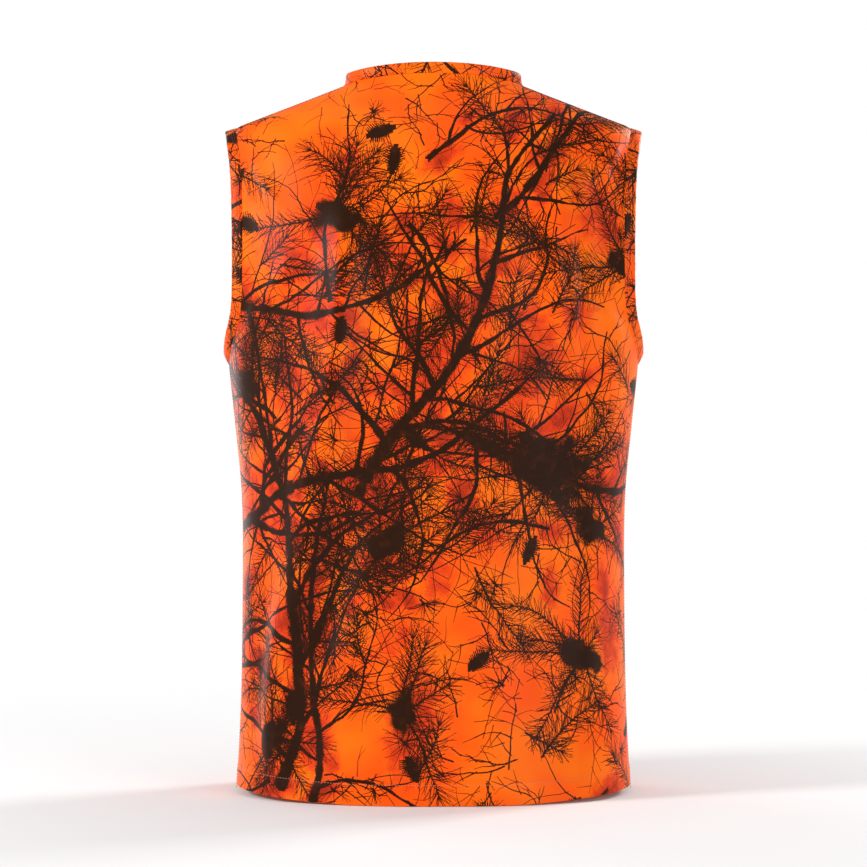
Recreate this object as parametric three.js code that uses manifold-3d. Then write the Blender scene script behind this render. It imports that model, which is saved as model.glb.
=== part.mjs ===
// A sleeveless field vest with a full-length front zip, two patch pockets and bound edges.
// Millimetres, +Z up, the wearer faces -Y and +X is the wearer's left.
// The vest stands on its hem at z = 0, open as it is when worn.
import * as THREE from "three";
import Module from "manifold-3d";
import { mergeVertices } from "three/addons/utils/BufferGeometryUtils.js";

// ---- Driving dimensions -------------------------------------------------------------------
const VEST_LENGTH = 705; // hem to the back neck seam
const CHEST_HALF_WIDTH = 202.5; // at the underarm
const BACK_DEPTH = 126; // from the side seam's plane to the middle of the back, at the hem
const FRONT_DEPTH = 122; // from the side seam's plane to the zip, at the hem

const HEM_INSET = 7.5; // how much narrower than the chest each side is
const WAIST_INSET = 13.5;
const SHOULDER_INSET = 5.5;
const ARM_SWELL = 8; // the body's side past the chest, where the armhole cuts it away

const UNDERARM_DROP = 284; // all drops are measured down from the back neck seam
const SHOULDER_NECK_DROP = 7.5;
const SHOULDER_SLOPE_DROP = 42; // from the neck end of the shoulder seam to its arm end
const FRONT_NECK_DROP = 112;
const WAIST_HEIGHT = 190;

const NECK_HALF_WIDTH = 88;
const NECK_BACK_DEPTH = 60; // from the shoulder seam to the middle of the back neck
const NECK_FRONT_DEPTH = 38;
const NECK_ROUNDNESS = 1.5; // 1 is a V neck, 2 a round one
const BACK_ROUNDNESS = 2.3; // exponents of the body's cross-sections
const FRONT_ROUNDNESS = 2.4;
const BACK_ARMHOLE_CUT = 16.5; // how far in from the chest the armhole edge runs at mid height
const FRONT_ARMHOLE_CUT = 30;
const ZIP_LEAN = 0.03; // how far the straight front edge leans back per millimetre of height

const FABRIC = 1.2;
const GAP = 0.3; // between pieces that touch
const LINING_GAP = 0.4; // between a panel and what is sewn to its inside
const SEAM_GAP = 0.5; // between two panels at a seam
const TAPE = 0.8;
const LABEL = 0.5;

const ARMHOLE_BINDING_WIDTH = 11;
const NECK_BINDING_WIDTH = 9.5;
const BINDING_THICKNESS = 3.2;
const BINDING_LEG = 0.8;
const BINDING_GAP = 0.6; // from the panel's edge, because the binding leans
const ARMHOLE_FLARE = 0.45; // how far a binding leans off the body
const NECK_FLARE = 0.25;
const ELASTIC_THICKNESS = 0.4;
const ELASTIC_START = 3; // from the panel's edge
const HEM_HEIGHT = 20;
const HEM_RISE = 7; // at the side seams
const HEM_LEVEL_SHARE = 0.35; // the share of the width over which the hem is level

const ZIP_OPENING = 7; // from the middle to each front edge
const TEETH_INNER = 1.3;
const TEETH_WIDTH = 2.3;
const TEETH_THICKNESS = 2.8;
const ZIP_TAPE_OUTER = 16;
const ZIP_END_MARGIN = 5;
const SLIDER_LENGTH = 14;
const SLIDER_HALF_WIDTH = 4.4;
const SLIDER_PLATE = 1.3;
const SLIDER_FLANGE = 0.5;
const DIAMOND_HALF_WIDTH = 0.9;
const BRIDGE_WIDTH = 2.4;
const BRIDGE_HOLE = { length: 4, height: 1.6 };
const PULLER = { length: 30, width: 7.4, thickness: 1, window: { width: 4.4, length: 4.5 } };
const STOP_LENGTH = 3;
const RETAINER_HEIGHT = 12;
const GUARD_HALF_WIDTH = 14;

const FOLD_AT_HEM = 150; // the line where each front folds open, from the middle
const FOLD_AT_CHEST = 122;
const FOLD_CHEST_HEIGHT = 490; // where the fold turns in to the neck
const FOLD_AT_NECK = 45;
const FOLD_GAP = 1.6;

const POCKET = { inner: 24, width: 104, bottom: 42, height: 136, rise: 1.2, border: 0.09 };
const POCKET_GAP = 0.7;
const FLAP = { height: 54, aboveMouth: 14, overhang: 2, thickness: 1, lift: 5.4 };
const SNAP = { radius: 4.6, knob: 1.7, cap: 6.2, aboveFlapEdge: 13 };

const LOOP = { halfWidth: 26, drop: 20, width: 5, thickness: 1, stand: 5 };
const SIZE_LABEL = { width: 32, height: 22 };
const CARE_LABEL = { height: 52, bottom: 95 };
const NECK_TAPE_WIDTH = 10;

// How finely the panels are divided.
const NECK_COLUMNS = 6; // in each half of the back, out to the neck's corner
const SHOULDER_COLUMNS = 14; // and from there to the side
const LOWER_ROWS = 8; // below the underarm
const ARMHOLE_ROWS = 18;
const POCKET_CELLS = 11;

// ---- Heights and widths that follow ---------------------------------------------------------
const underarmHeight = VEST_LENGTH - UNDERARM_DROP;
const neckPointHeight = VEST_LENGTH - SHOULDER_NECK_DROP;
const shoulderEndHeight = neckPointHeight - SHOULDER_SLOPE_DROP;
const frontNeckHeight = VEST_LENGTH - FRONT_NECK_DROP;
const shoulderHalfWidth = CHEST_HALF_WIDTH - SHOULDER_INSET;
const armholeHeight = shoulderEndHeight - underarmHeight;
const BACK = 1;
const FRONT = -1;

// A smooth curve through [place, value] stops.
function curveThrough(stops) {
  const places = Float64Array.from(stops, (stop) => stop[0]);
  const values = Float64Array.from(stops, (stop) => stop[1]);
  const interpolant = new THREE.CubicInterpolant(places, values, 1);
  const [first, last] = [places[0], places[places.length - 1]];
  return (place) => interpolant.evaluate(THREE.MathUtils.clamp(place, first, last))[0];
}

const upArmhole = (share) => underarmHeight + share * armholeHeight;
const mix = THREE.MathUtils.lerp;

const lowerHalfWidth = curveThrough([
  [0, CHEST_HALF_WIDTH - HEM_INSET],
  [0.4 * WAIST_HEIGHT, CHEST_HALF_WIDTH - mix(WAIST_INSET, HEM_INSET, 0.35)],
  [WAIST_HEIGHT, CHEST_HALF_WIDTH - WAIST_INSET],
  [mix(WAIST_HEIGHT, underarmHeight, 0.45), CHEST_HALF_WIDTH - 0.93 * WAIST_INSET],
  [mix(WAIST_HEIGHT, underarmHeight, 0.75), CHEST_HALF_WIDTH - 0.45 * WAIST_INSET],
  [underarmHeight, CHEST_HALF_WIDTH],
  [upArmhole(0.35), CHEST_HALF_WIDTH + 0.75 * ARM_SWELL],
  [upArmhole(0.7), CHEST_HALF_WIDTH + ARM_SWELL],
  [upArmhole(0.88), CHEST_HALF_WIDTH + 0.8 * ARM_SWELL],
  [upArmhole(0.97), mix(CHEST_HALF_WIDTH, shoulderHalfWidth, 0.35)],
  [shoulderEndHeight, shoulderHalfWidth],
]);

// Half the body's width at a height: the side, then the shoulder's slope up to the neck.
function halfWidth(z) {
  if (z <= shoulderEndHeight) return lowerHalfWidth(z);
  const up = Math.min(1, (z - shoulderEndHeight) / SHOULDER_SLOPE_DROP);
  return mix(shoulderHalfWidth, NECK_HALF_WIDTH, up);
}

const backDepthAt = curveThrough([
  [0, BACK_DEPTH],
  [WAIST_HEIGHT, BACK_DEPTH - 7],
  [underarmHeight, BACK_DEPTH - 1],
  [upArmhole(0.45), BACK_DEPTH - 6],
  [upArmhole(0.82), BACK_DEPTH - 25],
  [shoulderEndHeight, mix(BACK_DEPTH, NECK_BACK_DEPTH, 0.68)],
  [mix(shoulderEndHeight, neckPointHeight, 0.6), mix(BACK_DEPTH, NECK_BACK_DEPTH, 0.88)],
  [VEST_LENGTH, NECK_BACK_DEPTH],
]);
const frontDepthAtNeck = FRONT_DEPTH - ZIP_LEAN * frontNeckHeight;
const upperFrontDepthAt = curveThrough([
  [frontNeckHeight, frontDepthAtNeck],
  [mix(frontNeckHeight, neckPointHeight, 0.35), mix(frontDepthAtNeck, NECK_FRONT_DEPTH, 0.28)],
  [mix(frontNeckHeight, neckPointHeight, 0.7), mix(frontDepthAtNeck, NECK_FRONT_DEPTH, 0.66)],
  [neckPointHeight, NECK_FRONT_DEPTH],
]);
const frontDepthAt = (z) =>
  z <= frontNeckHeight ? FRONT_DEPTH - ZIP_LEAN * z : upperFrontDepthAt(z);

const depthAt = (side, z) => (side === BACK ? backDepthAt(z) : frontDepthAt(z));
const roundness = (side) => (side === BACK ? BACK_ROUNDNESS : FRONT_ROUNDNESS);

// How far from the side seam's plane the body is, at a place across it and a height.
function depthOf(side, x, z) {
  const across = Math.min(1, Math.abs(x) / halfWidth(z));
  const p = roundness(side);
  return depthAt(side, z) * Math.pow(1 - Math.pow(across, p), 1 / p);
}

// The outward normal of the body there.
function normalOf(side, x, z) {
  const p = roundness(side);
  const measure = (x1, y1, z1) =>
    Math.pow(Math.abs(x1) / halfWidth(z1), p) + Math.pow(Math.abs(y1) / depthAt(side, z1), p);
  const y = side * depthOf(side, x, z);
  const step = 0.5;
  const w = halfWidth(z);
  const d = depthAt(side, z);
  const up = Math.min(z + step, side === BACK ? VEST_LENGTH : neckPointHeight);
  return new THREE.Vector3(
    (Math.sign(x) * Math.pow(Math.abs(x) / w, p - 1)) / w,
    (side * Math.pow(Math.abs(y) / d, p - 1)) / d,
    (measure(x, y, up) - measure(x, y, up - 2 * step)) / (2 * step * p),
  ).normalize();
}

// A point on the body, moved out by an offset along its normal.
function bodyPoint(side, x, z, offset) {
  const y = side * (depthOf(side, x, z) + SEAM_GAP / 2);
  return new THREE.Vector3(x, y, z).addScaledVector(normalOf(side, x, z), offset);
}

// ---- The panels' outlines -------------------------------------------------------------------
const armholeCut = curveThrough([
  [underarmHeight, 0],
  [upArmhole(0.08), 0.24],
  [upArmhole(0.2), 0.8],
  [upArmhole(0.42), 1],
  [upArmhole(0.62), 0.9],
  [upArmhole(0.86), 0.5],
  [shoulderEndHeight, 0],
]);

// How far from the middle a panel's side or armhole edge is.
function edgeHalfWidth(side, z) {
  if (z <= underarmHeight) return halfWidth(z);
  if (z >= shoulderEndHeight) return shoulderHalfWidth;
  const up = (z - underarmHeight) / armholeHeight;
  const chord = mix(CHEST_HALF_WIDTH, shoulderHalfWidth, up);
  const cut = side === BACK ? BACK_ARMHOLE_CUT : FRONT_ARMHOLE_CUT;
  return Math.min(halfWidth(z), chord - armholeCut(z) * cut + 3 * Math.sin(Math.PI * up) ** 2);
}

// The height of a panel's top edge over a place across it: the neckline, then the shoulder.
function topHeight(side, x) {
  const across = Math.abs(x) / NECK_HALF_WIDTH;
  if (across >= 1) {
    const along = (Math.abs(x) - NECK_HALF_WIDTH) / (shoulderHalfWidth - NECK_HALF_WIDTH);
    return neckPointHeight - along * SHOULDER_SLOPE_DROP;
  }
  if (side === BACK) return neckPointHeight + SHOULDER_NECK_DROP * (1 - across ** 2);
  const n = NECK_ROUNDNESS;
  const dip = Math.pow(1 - Math.pow(across, n), 1 / n);
  return neckPointHeight - (neckPointHeight - frontNeckHeight) * dip;
}

// Panels are laid out on shares of their width and height. A share of the width is eased, so
// that columns stand closer where the body turns at its sides.
const easedAcross = (s) => Math.sin((s * Math.PI) / 2);
const acrossShare = (q) => (Math.asin(q) * 2) / Math.PI;

// The hem's height at a share of the width.
function hemHeight(q) {
  const rising = Math.max(0, (Math.abs(q) - HEM_LEVEL_SHARE) / (1 - HEM_LEVEL_SHARE));
  return HEM_RISE * Math.pow(rising, 1.6);
}

// The place at shares of the back: s runs from -1 at the right side seam to 1, t from the hem up.
function backPlace(s, t) {
  const q = easedAcross(s);
  const z = mix(hemHeight(q), topHeight(BACK, q * shoulderHalfWidth), t);
  return { x: q * edgeHalfWidth(BACK, z), z };
}
function backShares(x, z) {
  const q = x / edgeHalfWidth(BACK, z);
  const hem = hemHeight(q);
  return { s: acrossShare(q), t: (z - hem) / (topHeight(BACK, q * shoulderHalfWidth) - hem) };
}

// The place at shares of the left front: s runs from 0 at the zip to 1 at the side and armhole.
function frontPlace(s, t) {
  const q = easedAcross(s);
  const z = mix(hemHeight(q), topHeight(FRONT, mix(ZIP_OPENING, shoulderHalfWidth, q)), t);
  return { x: mix(ZIP_OPENING, edgeHalfWidth(FRONT, z), q), z };
}
function frontShares(x, z) {
  const q = (x - ZIP_OPENING) / (edgeHalfWidth(FRONT, z) - ZIP_OPENING);
  const hem = hemHeight(q);
  const top = topHeight(FRONT, mix(ZIP_OPENING, shoulderHalfWidth, q));
  return { s: acrossShare(q), t: (z - hem) / (top - hem) };
}

// Where the front folds open: how far from the middle at a height, and as a share of the width.
const foldLine = curveThrough([
  [0, FOLD_AT_HEM],
  [FOLD_CHEST_HEIGHT / 2, mix(FOLD_AT_HEM, FOLD_AT_CHEST, 0.5)],
  [FOLD_CHEST_HEIGHT, FOLD_AT_CHEST],
  [topHeight(FRONT, FOLD_AT_NECK), FOLD_AT_NECK],
]);
function foldShare(t, shift) {
  let [low, high] = [0, 1];
  for (let i = 0; i < 40; i++) {
    const middle = (low + high) / 2;
    const { x, z } = frontPlace(middle, t);
    if (x < foldLine(z) + shift) low = middle;
    else high = middle;
  }
  return low;
}

// Shares from 0 upwards, through spans of [how many steps, where the span ends].
function sharesThrough(...spans) {
  const shares = [0];
  for (const [steps, end] of spans) {
    const start = shares[shares.length - 1];
    for (let i = 1; i <= steps; i++) shares.push(mix(start, end, i / steps));
  }
  return shares;
}
const underarmShare = (underarmHeight - HEM_RISE) / (shoulderEndHeight - HEM_RISE);
const rowShares = sharesThrough([LOWER_ROWS, underarmShare]);
for (let j = 1; j <= ARMHOLE_ROWS; j++) {
  const up = 0.5 - 0.5 * Math.cos((Math.PI * j) / ARMHOLE_ROWS);
  rowShares.push(mix(underarmShare, 1, up));
}

// A panel: its corners stand at its column and row shares, and it is flat between them.
class Panel {
  constructor(side, place, columnShares) {
    this.side = side;
    this.place = place;
    this.columns = columnShares;
    this.rows = rowShares;
  }
  corner(i, j, offset) {
    const { x, z } = this.place(this.columns[i], this.rows[j]);
    const point = bodyPoint(this.side, x, z, offset);
    return j === 0 ? point.setZ(z) : point;
  }
  // The point at shares (s, t) of the faceted panel, moved out by an offset.
  at(s, t, offset) {
    const cellOf = (shares, share) => {
      let k = 0;
      while (k < shares.length - 2 && shares[k + 1] < share) k++;
      return [k, (share - shares[k]) / (shares[k + 1] - shares[k])];
    };
    const [i, u] = cellOf(this.columns, s);
    const [j, v] = cellOf(this.rows, t);
    const low = this.corner(i, j, offset).lerp(this.corner(i + 1, j, offset), u);
    const high = this.corner(i, j + 1, offset).lerp(this.corner(i + 1, j + 1, offset), u);
    return low.lerp(high, v);
  }
  geometry() {
    const skin = (offset) => (i, j) => this.corner(i, j, offset);
    return sheetGeometry(this.columns.length - 1, this.rows.length - 1, skin(0), skin(-FABRIC));
  }
  // The corners along its top edge or its outer edge, with the normal at each.
  edgeCorner(i, j) {
    const { x, z } = this.place(this.columns[i], this.rows[j]);
    return { point: this.corner(i, j, -FABRIC / 2), normal: normalOf(this.side, x, z) };
  }
}

// ---- Geometry helpers -----------------------------------------------------------------------
function geometryFrom(points, triangles) {
  const geometry = new THREE.BufferGeometry().setFromPoints(points);
  geometry.setIndex(triangles);
  let volume = 0;
  for (let i = 0; i < triangles.length; i += 3) {
    const [a, b, c] = [0, 1, 2].map((k) => points[triangles[i + k]]);
    volume += a.dot(new THREE.Vector3().crossVectors(b, c));
  }
  if (volume < 0) {
    for (let i = 0; i < triangles.length; i += 3) {
      [triangles[i + 1], triangles[i + 2]] = [triangles[i + 2], triangles[i + 1]];
    }
    geometry.setIndex(triangles);
  }
  return geometry;
}

// A closed sheet between an outer and an inner skin, each the point at a column and a row.
function sheetGeometry(columns, rows, outer, inner) {
  const points = [];
  const at = (skin, i, j) => (skin * (columns + 1) + i) * (rows + 1) + j;
  for (const skin of [outer, inner]) {
    for (let i = 0; i <= columns; i++) {
      for (let j = 0; j <= rows; j++) points.push(skin(i, j));
    }
  }
  const triangles = [];
  const quad = (a, b, c, d) => triangles.push(a, b, c, a, c, d);
  for (let i = 0; i < columns; i++) {
    for (let j = 0; j < rows; j++) {
      quad(at(0, i, j), at(0, i + 1, j), at(0, i + 1, j + 1), at(0, i, j + 1));
      quad(at(1, i, j), at(1, i, j + 1), at(1, i + 1, j + 1), at(1, i + 1, j));
    }
    quad(at(0, i, 0), at(1, i, 0), at(1, i + 1, 0), at(0, i + 1, 0));
    quad(at(0, i, rows), at(0, i + 1, rows), at(1, i + 1, rows), at(1, i, rows));
  }
  for (let j = 0; j < rows; j++) {
    quad(at(0, 0, j), at(0, 0, j + 1), at(1, 0, j + 1), at(1, 0, j));
    quad(at(0, columns, j), at(1, columns, j), at(1, columns, j + 1), at(0, columns, j + 1));
  }
  return geometryFrom(points, triangles);
}

// A flat section, a list of [along, out] pairs, carried through a list of frames.
function sweptGeometry(section, frames, closed) {
  const n = section.length;
  const points = frames.flatMap((frame) =>
    section.map(([along, out]) =>
      frame.point.clone().addScaledVector(frame.along, along).addScaledVector(frame.out, out),
    ),
  );
  const triangles = [];
  const rings = closed ? frames.length : frames.length - 1;
  for (let r = 0; r < rings; r++) {
    const [here, next] = [r * n, ((r + 1) % frames.length) * n];
    for (let k = 0; k < n; k++) {
      const k1 = (k + 1) % n;
      triangles.push(here + k, next + k, next + k1, here + k, next + k1, here + k1);
    }
  }
  if (!closed) {
    const outline = section.map(([along, out]) => new THREE.Vector2(along, out));
    const last = (frames.length - 1) * n;
    const clockwise = THREE.ShapeUtils.isClockWise(outline);
    for (const [a, b, c] of THREE.ShapeUtils.triangulateShape(outline, [])) {
      const face = clockwise ? [a, c, b] : [a, b, c];
      triangles.push(face[0], face[1], face[2], last + face[0], last + face[2], last + face[1]);
    }
  }
  return geometryFrom(points, triangles);
}

const wasm = await Module();
wasm.setup();

// A manifold-3d solid from a three.js geometry.
function solidOf(geometry) {
  const bare = geometry.index ? geometry.toNonIndexed() : geometry.clone();
  bare.deleteAttribute("normal");
  bare.deleteAttribute("uv");
  const merged = mergeVertices(bare, 1e-4);
  return new wasm.Manifold(
    new wasm.Mesh({
      numProp: 3,
      vertProperties: merged.attributes.position.array,
      triVerts: new Uint32Array(merged.index.array),
    }),
  );
}

// A three.js geometry from a manifold-3d solid.
function geometryOf(solid) {
  const mesh = solid.getMesh();
  return new THREE.BufferGeometry()
    .setAttribute("position", new THREE.BufferAttribute(Float32Array.from(mesh.vertProperties), 3))
    .setIndex(new THREE.BufferAttribute(Uint32Array.from(mesh.triVerts), 1));
}

// A box between two corners, each [x, y, z].
function boxBetween(low, high) {
  const size = high.map((value, k) => value - low[k]);
  const middle = high.map((value, k) => (value + low[k]) / 2);
  return new THREE.BoxGeometry(...size).translate(...middle);
}

// ---- Materials --------------------------------------------------------------------------------
const finish = (color, roughness, metalness = 0) =>
  new THREE.MeshStandardMaterial({ color, roughness, metalness });
const printedCloth = finish(0xe85510, 0.75);
const plainCloth = finish(0xd8641e, 0.85);
const elasticTape = finish(0xe6e0d6, 0.9);
const zipTape = finish(0x2c2119, 0.85);
const mouldedPlastic = finish(0x1e1711, 0.45);
const blackMetal = finish(0x34302c, 0.35, 0.9);
const labelCloth = finish(0xeceae2, 0.7);

const vest = new THREE.Group();
function addPiece(name, geometry, material, parent = vest) {
  const mesh = new THREE.Mesh(geometry, material);
  mesh.name = name;
  parent.add(mesh);
  return mesh;
}

// The same piece for the wearer's left and, mirrored, right.
function addPair(name, geometry, material) {
  addPiece(`${name}_left`, geometry, material);
  addPiece(`${name}_right`, mirrored(geometry), material);
}

function mirrored(geometry) {
  const copy = geometry.clone().scale(-1, 1, 1);
  const index = Array.from(copy.index.array);
  for (let i = 0; i < index.length; i += 3) {
    [index[i + 1], index[i + 2]] = [index[i + 2], index[i + 1]];
  }
  return copy.setIndex(index);
}

// ---- Back and fronts ---------------------------------------------------------------------------
const backNeckShare = acrossShare(NECK_HALF_WIDTH / shoulderHalfWidth);
const backColumns = sharesThrough([NECK_COLUMNS, backNeckShare], [SHOULDER_COLUMNS, 1]);
const leftwardColumns = backColumns.slice(1).map((share) => -share).reverse();
const back = new Panel(BACK, backPlace, [...leftwardColumns, ...backColumns]);
addPiece("back_panel", back.geometry(), printedCloth);

// The front is one cloth that folds open; its two sides of the fold line are two solids.
const movingFrontPlace = (s, t) => frontPlace(s * foldShare(t, -FOLD_GAP / 2), t);
const fixedFrontPlace = (s, t) => frontPlace(mix(foldShare(t, FOLD_GAP / 2), 1, s), t);
const topFoldShare = foldShare(1, FOLD_GAP / 2);
const frontNeckPlace = (NECK_HALF_WIDTH - ZIP_OPENING) / (shoulderHalfWidth - ZIP_OPENING);
const frontNeckShare = (acrossShare(frontNeckPlace) - topFoldShare) / (1 - topFoldShare);
const movingFront = new Panel(FRONT, movingFrontPlace, sharesThrough([9, 1]));
const fixedFront = new Panel(FRONT, fixedFrontPlace, sharesThrough([3, frontNeckShare], [7, 1]));
addPair("front_panel", movingFront.geometry(), printedCloth);
addPair("front_side", fixedFront.geometry(), printedCloth);

// ---- Bindings ----------------------------------------------------------------------------------
// A frame on a panel's edge: the point, the way the binding stands off it, and its outer face.
function edgeFrames(corners, closed, flare) {
  const n = corners.length;
  return corners.map(({ point, normal }, i) => {
    const before = corners[closed ? (i + n - 1) % n : Math.max(i - 1, 0)].point;
    const after = corners[closed ? (i + 1) % n : Math.min(i + 1, n - 1)].point;
    const tangent = after.clone().sub(before).normalize();
    const inSurface = new THREE.Vector3().crossVectors(normal, tangent).normalize();
    const along = inSurface.addScaledVector(normal, flare).normalize();
    return { point, along, out: new THREE.Vector3().crossVectors(tangent, along).normalize() };
  });
}

// A folded strip seen end on: two legs joined by a fold, open towards the panel.
function bindingSection(width) {
  const half = BINDING_THICKNESS / 2;
  const slot = half - BINDING_LEG;
  const fold = width - 2 * BINDING_LEG;
  return [
    [BINDING_GAP, -half],
    [width - BINDING_LEG, -half],
    [width, 0],
    [width - BINDING_LEG, half],
    [BINDING_GAP, half],
    [BINDING_GAP, slot],
    [fold, slot],
    [fold, -slot],
    [BINDING_GAP, -slot],
  ];
}

// Where a back and a front corner meet at a seam, the binding's frame stands between them.
function betweenCorners(a, b) {
  const normal = a.normal.clone().add(b.normal).normalize();
  return { point: a.point.clone().lerp(b.point, 0.5), normal };
}
function armholeCorners() {
  const last = rowShares.length - 1;
  const [backEdge, frontEdge] = [back, fixedFront].map((panel) => (j) =>
    panel.edgeCorner(panel.columns.length - 1, j),
  );
  const corners = [betweenCorners(backEdge(LOWER_ROWS), frontEdge(LOWER_ROWS))];
  for (let j = LOWER_ROWS + 1; j < last; j++) corners.push(backEdge(j));
  corners.push(betweenCorners(backEdge(last), frontEdge(last)));
  for (let j = last - 1; j > LOWER_ROWS; j--) corners.push(frontEdge(j));
  return corners;
}
const armholeFrames = edgeFrames(armholeCorners(), true, ARMHOLE_FLARE);
addPair(
  "armhole_binding",
  sweptGeometry(bindingSection(ARMHOLE_BINDING_WIDTH), armholeFrames, true),
  printedCloth,
);
const elasticHalf = ELASTIC_THICKNESS / 2;
const elasticEnd = ARMHOLE_BINDING_WIDTH - 2 * BINDING_LEG - 3 * GAP;
const elasticSection = [
  [ELASTIC_START, -elasticHalf],
  [ELASTIC_START, elasticHalf],
  [elasticEnd, elasticHalf],
  [elasticEnd, -elasticHalf],
];
// The elastic's two ends stop short of each other in front of the underarm.
addPair("armhole_elastic", sweptGeometry(elasticSection, armholeFrames, false), elasticTape);

// The neck's fixed edge: up the left front from its fold, round the back, and down the right.
function neckCorners() {
  const top = rowShares.length - 1;
  const middle = (back.columns.length - 1) / 2;
  const left = [0, 1, 2].map((i) => fixedFront.edgeCorner(i, top));
  left.push(
    betweenCorners(fixedFront.edgeCorner(3, top), back.edgeCorner(middle + NECK_COLUMNS, top)),
  );
  for (let i = NECK_COLUMNS - 1; i > 0; i--) left.push(back.edgeCorner(middle + i, top));
  const acrossMiddle = new THREE.Vector3(-1, 1, 1);
  const right = left.map(({ point, normal }) => ({
    point: point.clone().multiply(acrossMiddle),
    normal: normal.clone().multiply(acrossMiddle),
  }));
  return [...left, back.edgeCorner(middle, top), ...right.reverse()];
}
const neckSection = bindingSection(NECK_BINDING_WIDTH);
addPiece(
  "neck_binding",
  sweptGeometry(neckSection, edgeFrames(neckCorners(), false, NECK_FLARE), false),
  printedCloth,
);
const frontNeckCorners = movingFront.columns.map((share, i) =>
  movingFront.edgeCorner(i, rowShares.length - 1),
);
addPair(
  "neck_binding_front",
  sweptGeometry(neckSection, edgeFrames(frontNeckCorners, false, NECK_FLARE), false),
  printedCloth,
);

// ---- Turned-up hem, seam allowances and tapes inside the shell ------------------------------------
// A strip on a panel's inside, over shares (s, t) that are given for each of its own corners.
function stripGeometry(panel, columns, rows, shares, offset, thickness) {
  const skin = (depth) => (i, j) => {
    const { s, t } = shares(i / columns, j / rows);
    return panel.at(s, t, depth);
  };
  return sheetGeometry(columns, rows, skin(offset), skin(offset - thickness));
}
const insideOffset = -(FABRIC + LINING_GAP);
const hemBottomShare = (2 * GAP) / shoulderEndHeight;
const hemTopShare = HEM_HEIGHT / shoulderEndHeight;
function hemFold(panel, from, to, columns) {
  const shares = (u, v) => ({ s: mix(from, to, u), t: mix(hemBottomShare, hemTopShare, v) });
  return stripGeometry(panel, columns, 1, shares, insideOffset, FABRIC);
}
const lastColumn = backColumns[backColumns.length - 2];
addPiece("hem_fold_back", hemFold(back, -lastColumn, lastColumn, 40), plainCloth);
addPair("hem_fold_front", hemFold(movingFront, 0.07, 0.985, 9), plainCloth);
addPair("hem_fold_side", hemFold(fixedFront, 0.015, 0.93, 8), plainCloth);

// Overlocked allowances of the side seams, pressed towards the back.
const allowanceBottom = HEM_HEIGHT + 3;
const allowanceTop = underarmHeight - 4;
const allowanceShares = (u, v) => ({
  s: mix(lastColumn - 0.012, lastColumn - 0.075, u),
  t: mix(allowanceBottom, allowanceTop, v) / shoulderEndHeight,
});
addPair(
  "side_seam_allowance",
  stripGeometry(back, 2, 16, allowanceShares, insideOffset, TAPE),
  plainCloth,
);

// Stay tapes inside the shoulder seams, just behind the ridge.
const [tapeHigh, tapeLow] = [0.97, 0.45].map((share) => mix(rowShares.at(-2), 1, share));
addPair(
  "shoulder_tape",
  stripGeometry(
    back,
    10,
    1,
    (u, v) => ({ s: mix(backNeckShare + 0.04, 0.86, u), t: mix(tapeLow, tapeHigh, v) }),
    insideOffset,
    TAPE,
  ),
  elasticTape,
);

const neckTapeTop = neckPointHeight - 5;
addPiece(
  "neck_tape",
  stripGeometry(
    back,
    12,
    2,
    (u, v) =>
      backShares(mix(-0.72, 0.72, u) * NECK_HALF_WIDTH, neckTapeTop - (1 - v) * NECK_TAPE_WIDTH),
    insideOffset,
    TAPE,
  ),
  plainCloth,
);
const labelOffset = insideOffset - TAPE - GAP;
addPiece(
  "size_label",
  stripGeometry(
    back,
    2,
    3,
    (u, v) => backShares((u - 0.5) * SIZE_LABEL.width, neckTapeTop - 3 - (1 - v) * SIZE_LABEL.height),
    labelOffset,
    LABEL,
  ),
  labelCloth,
);
addPiece(
  "care_label",
  stripGeometry(
    back,
    3,
    3,
    (u, v) => ({
      s: mix(lastColumn - 0.1, lastColumn, u),
      t: (CARE_LABEL.bottom + v * CARE_LABEL.height) / shoulderEndHeight,
    }),
    labelOffset,
    LABEL,
  ),
  labelCloth,
);

// ---- Hanger loop ----------------------------------------------------------------------------------
function loopFrames(steps) {
  const frames = [];
  for (let i = 0; i <= steps; i++) {
    const angle = Math.PI * (i / steps);
    const x = -LOOP.halfWidth * Math.cos(angle);
    const down = Math.sin(angle) ** 0.75;
    const z = neckTapeTop - 2 - LOOP.drop * down;
    const y = depthOf(BACK, LOOP.halfWidth, neckTapeTop) + labelOffset - LABEL - GAP - 1.6;
    frames.push(new THREE.Vector3(x, y - LOOP.stand * down, z));
  }
  return frames.map((point, i) => {
    const before = frames[Math.max(i - 1, 0)];
    const after = frames[Math.min(i + 1, steps)];
    const tangent = after.clone().sub(before).normalize();
    const out = new THREE.Vector3(0, LOOP.drop, -LOOP.stand).normalize();
    const along = new THREE.Vector3().crossVectors(tangent, out).normalize();
    return { point, along, out };
  });
}
const loopSection = [
  [-LOOP.width / 2, -LOOP.thickness / 2],
  [LOOP.width / 2, -LOOP.thickness / 2],
  [LOOP.width / 2, LOOP.thickness / 2],
  [-LOOP.width / 2, LOOP.thickness / 2],
];
addPiece("hanger_loop", sweptGeometry(loopSection, loopFrames(20), false), plainCloth);

// ---- Zip --------------------------------------------------------------------------------------------
// The zip's own frame: +Z along it, -Y out of the vest, 0 on the front's outer face at the hem.
const zip = new THREE.Group();
zip.position.set(0, -(FRONT_DEPTH + SEAM_GAP / 2), 0);
zip.rotation.x = -Math.atan(ZIP_LEAN);
vest.add(zip);

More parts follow.
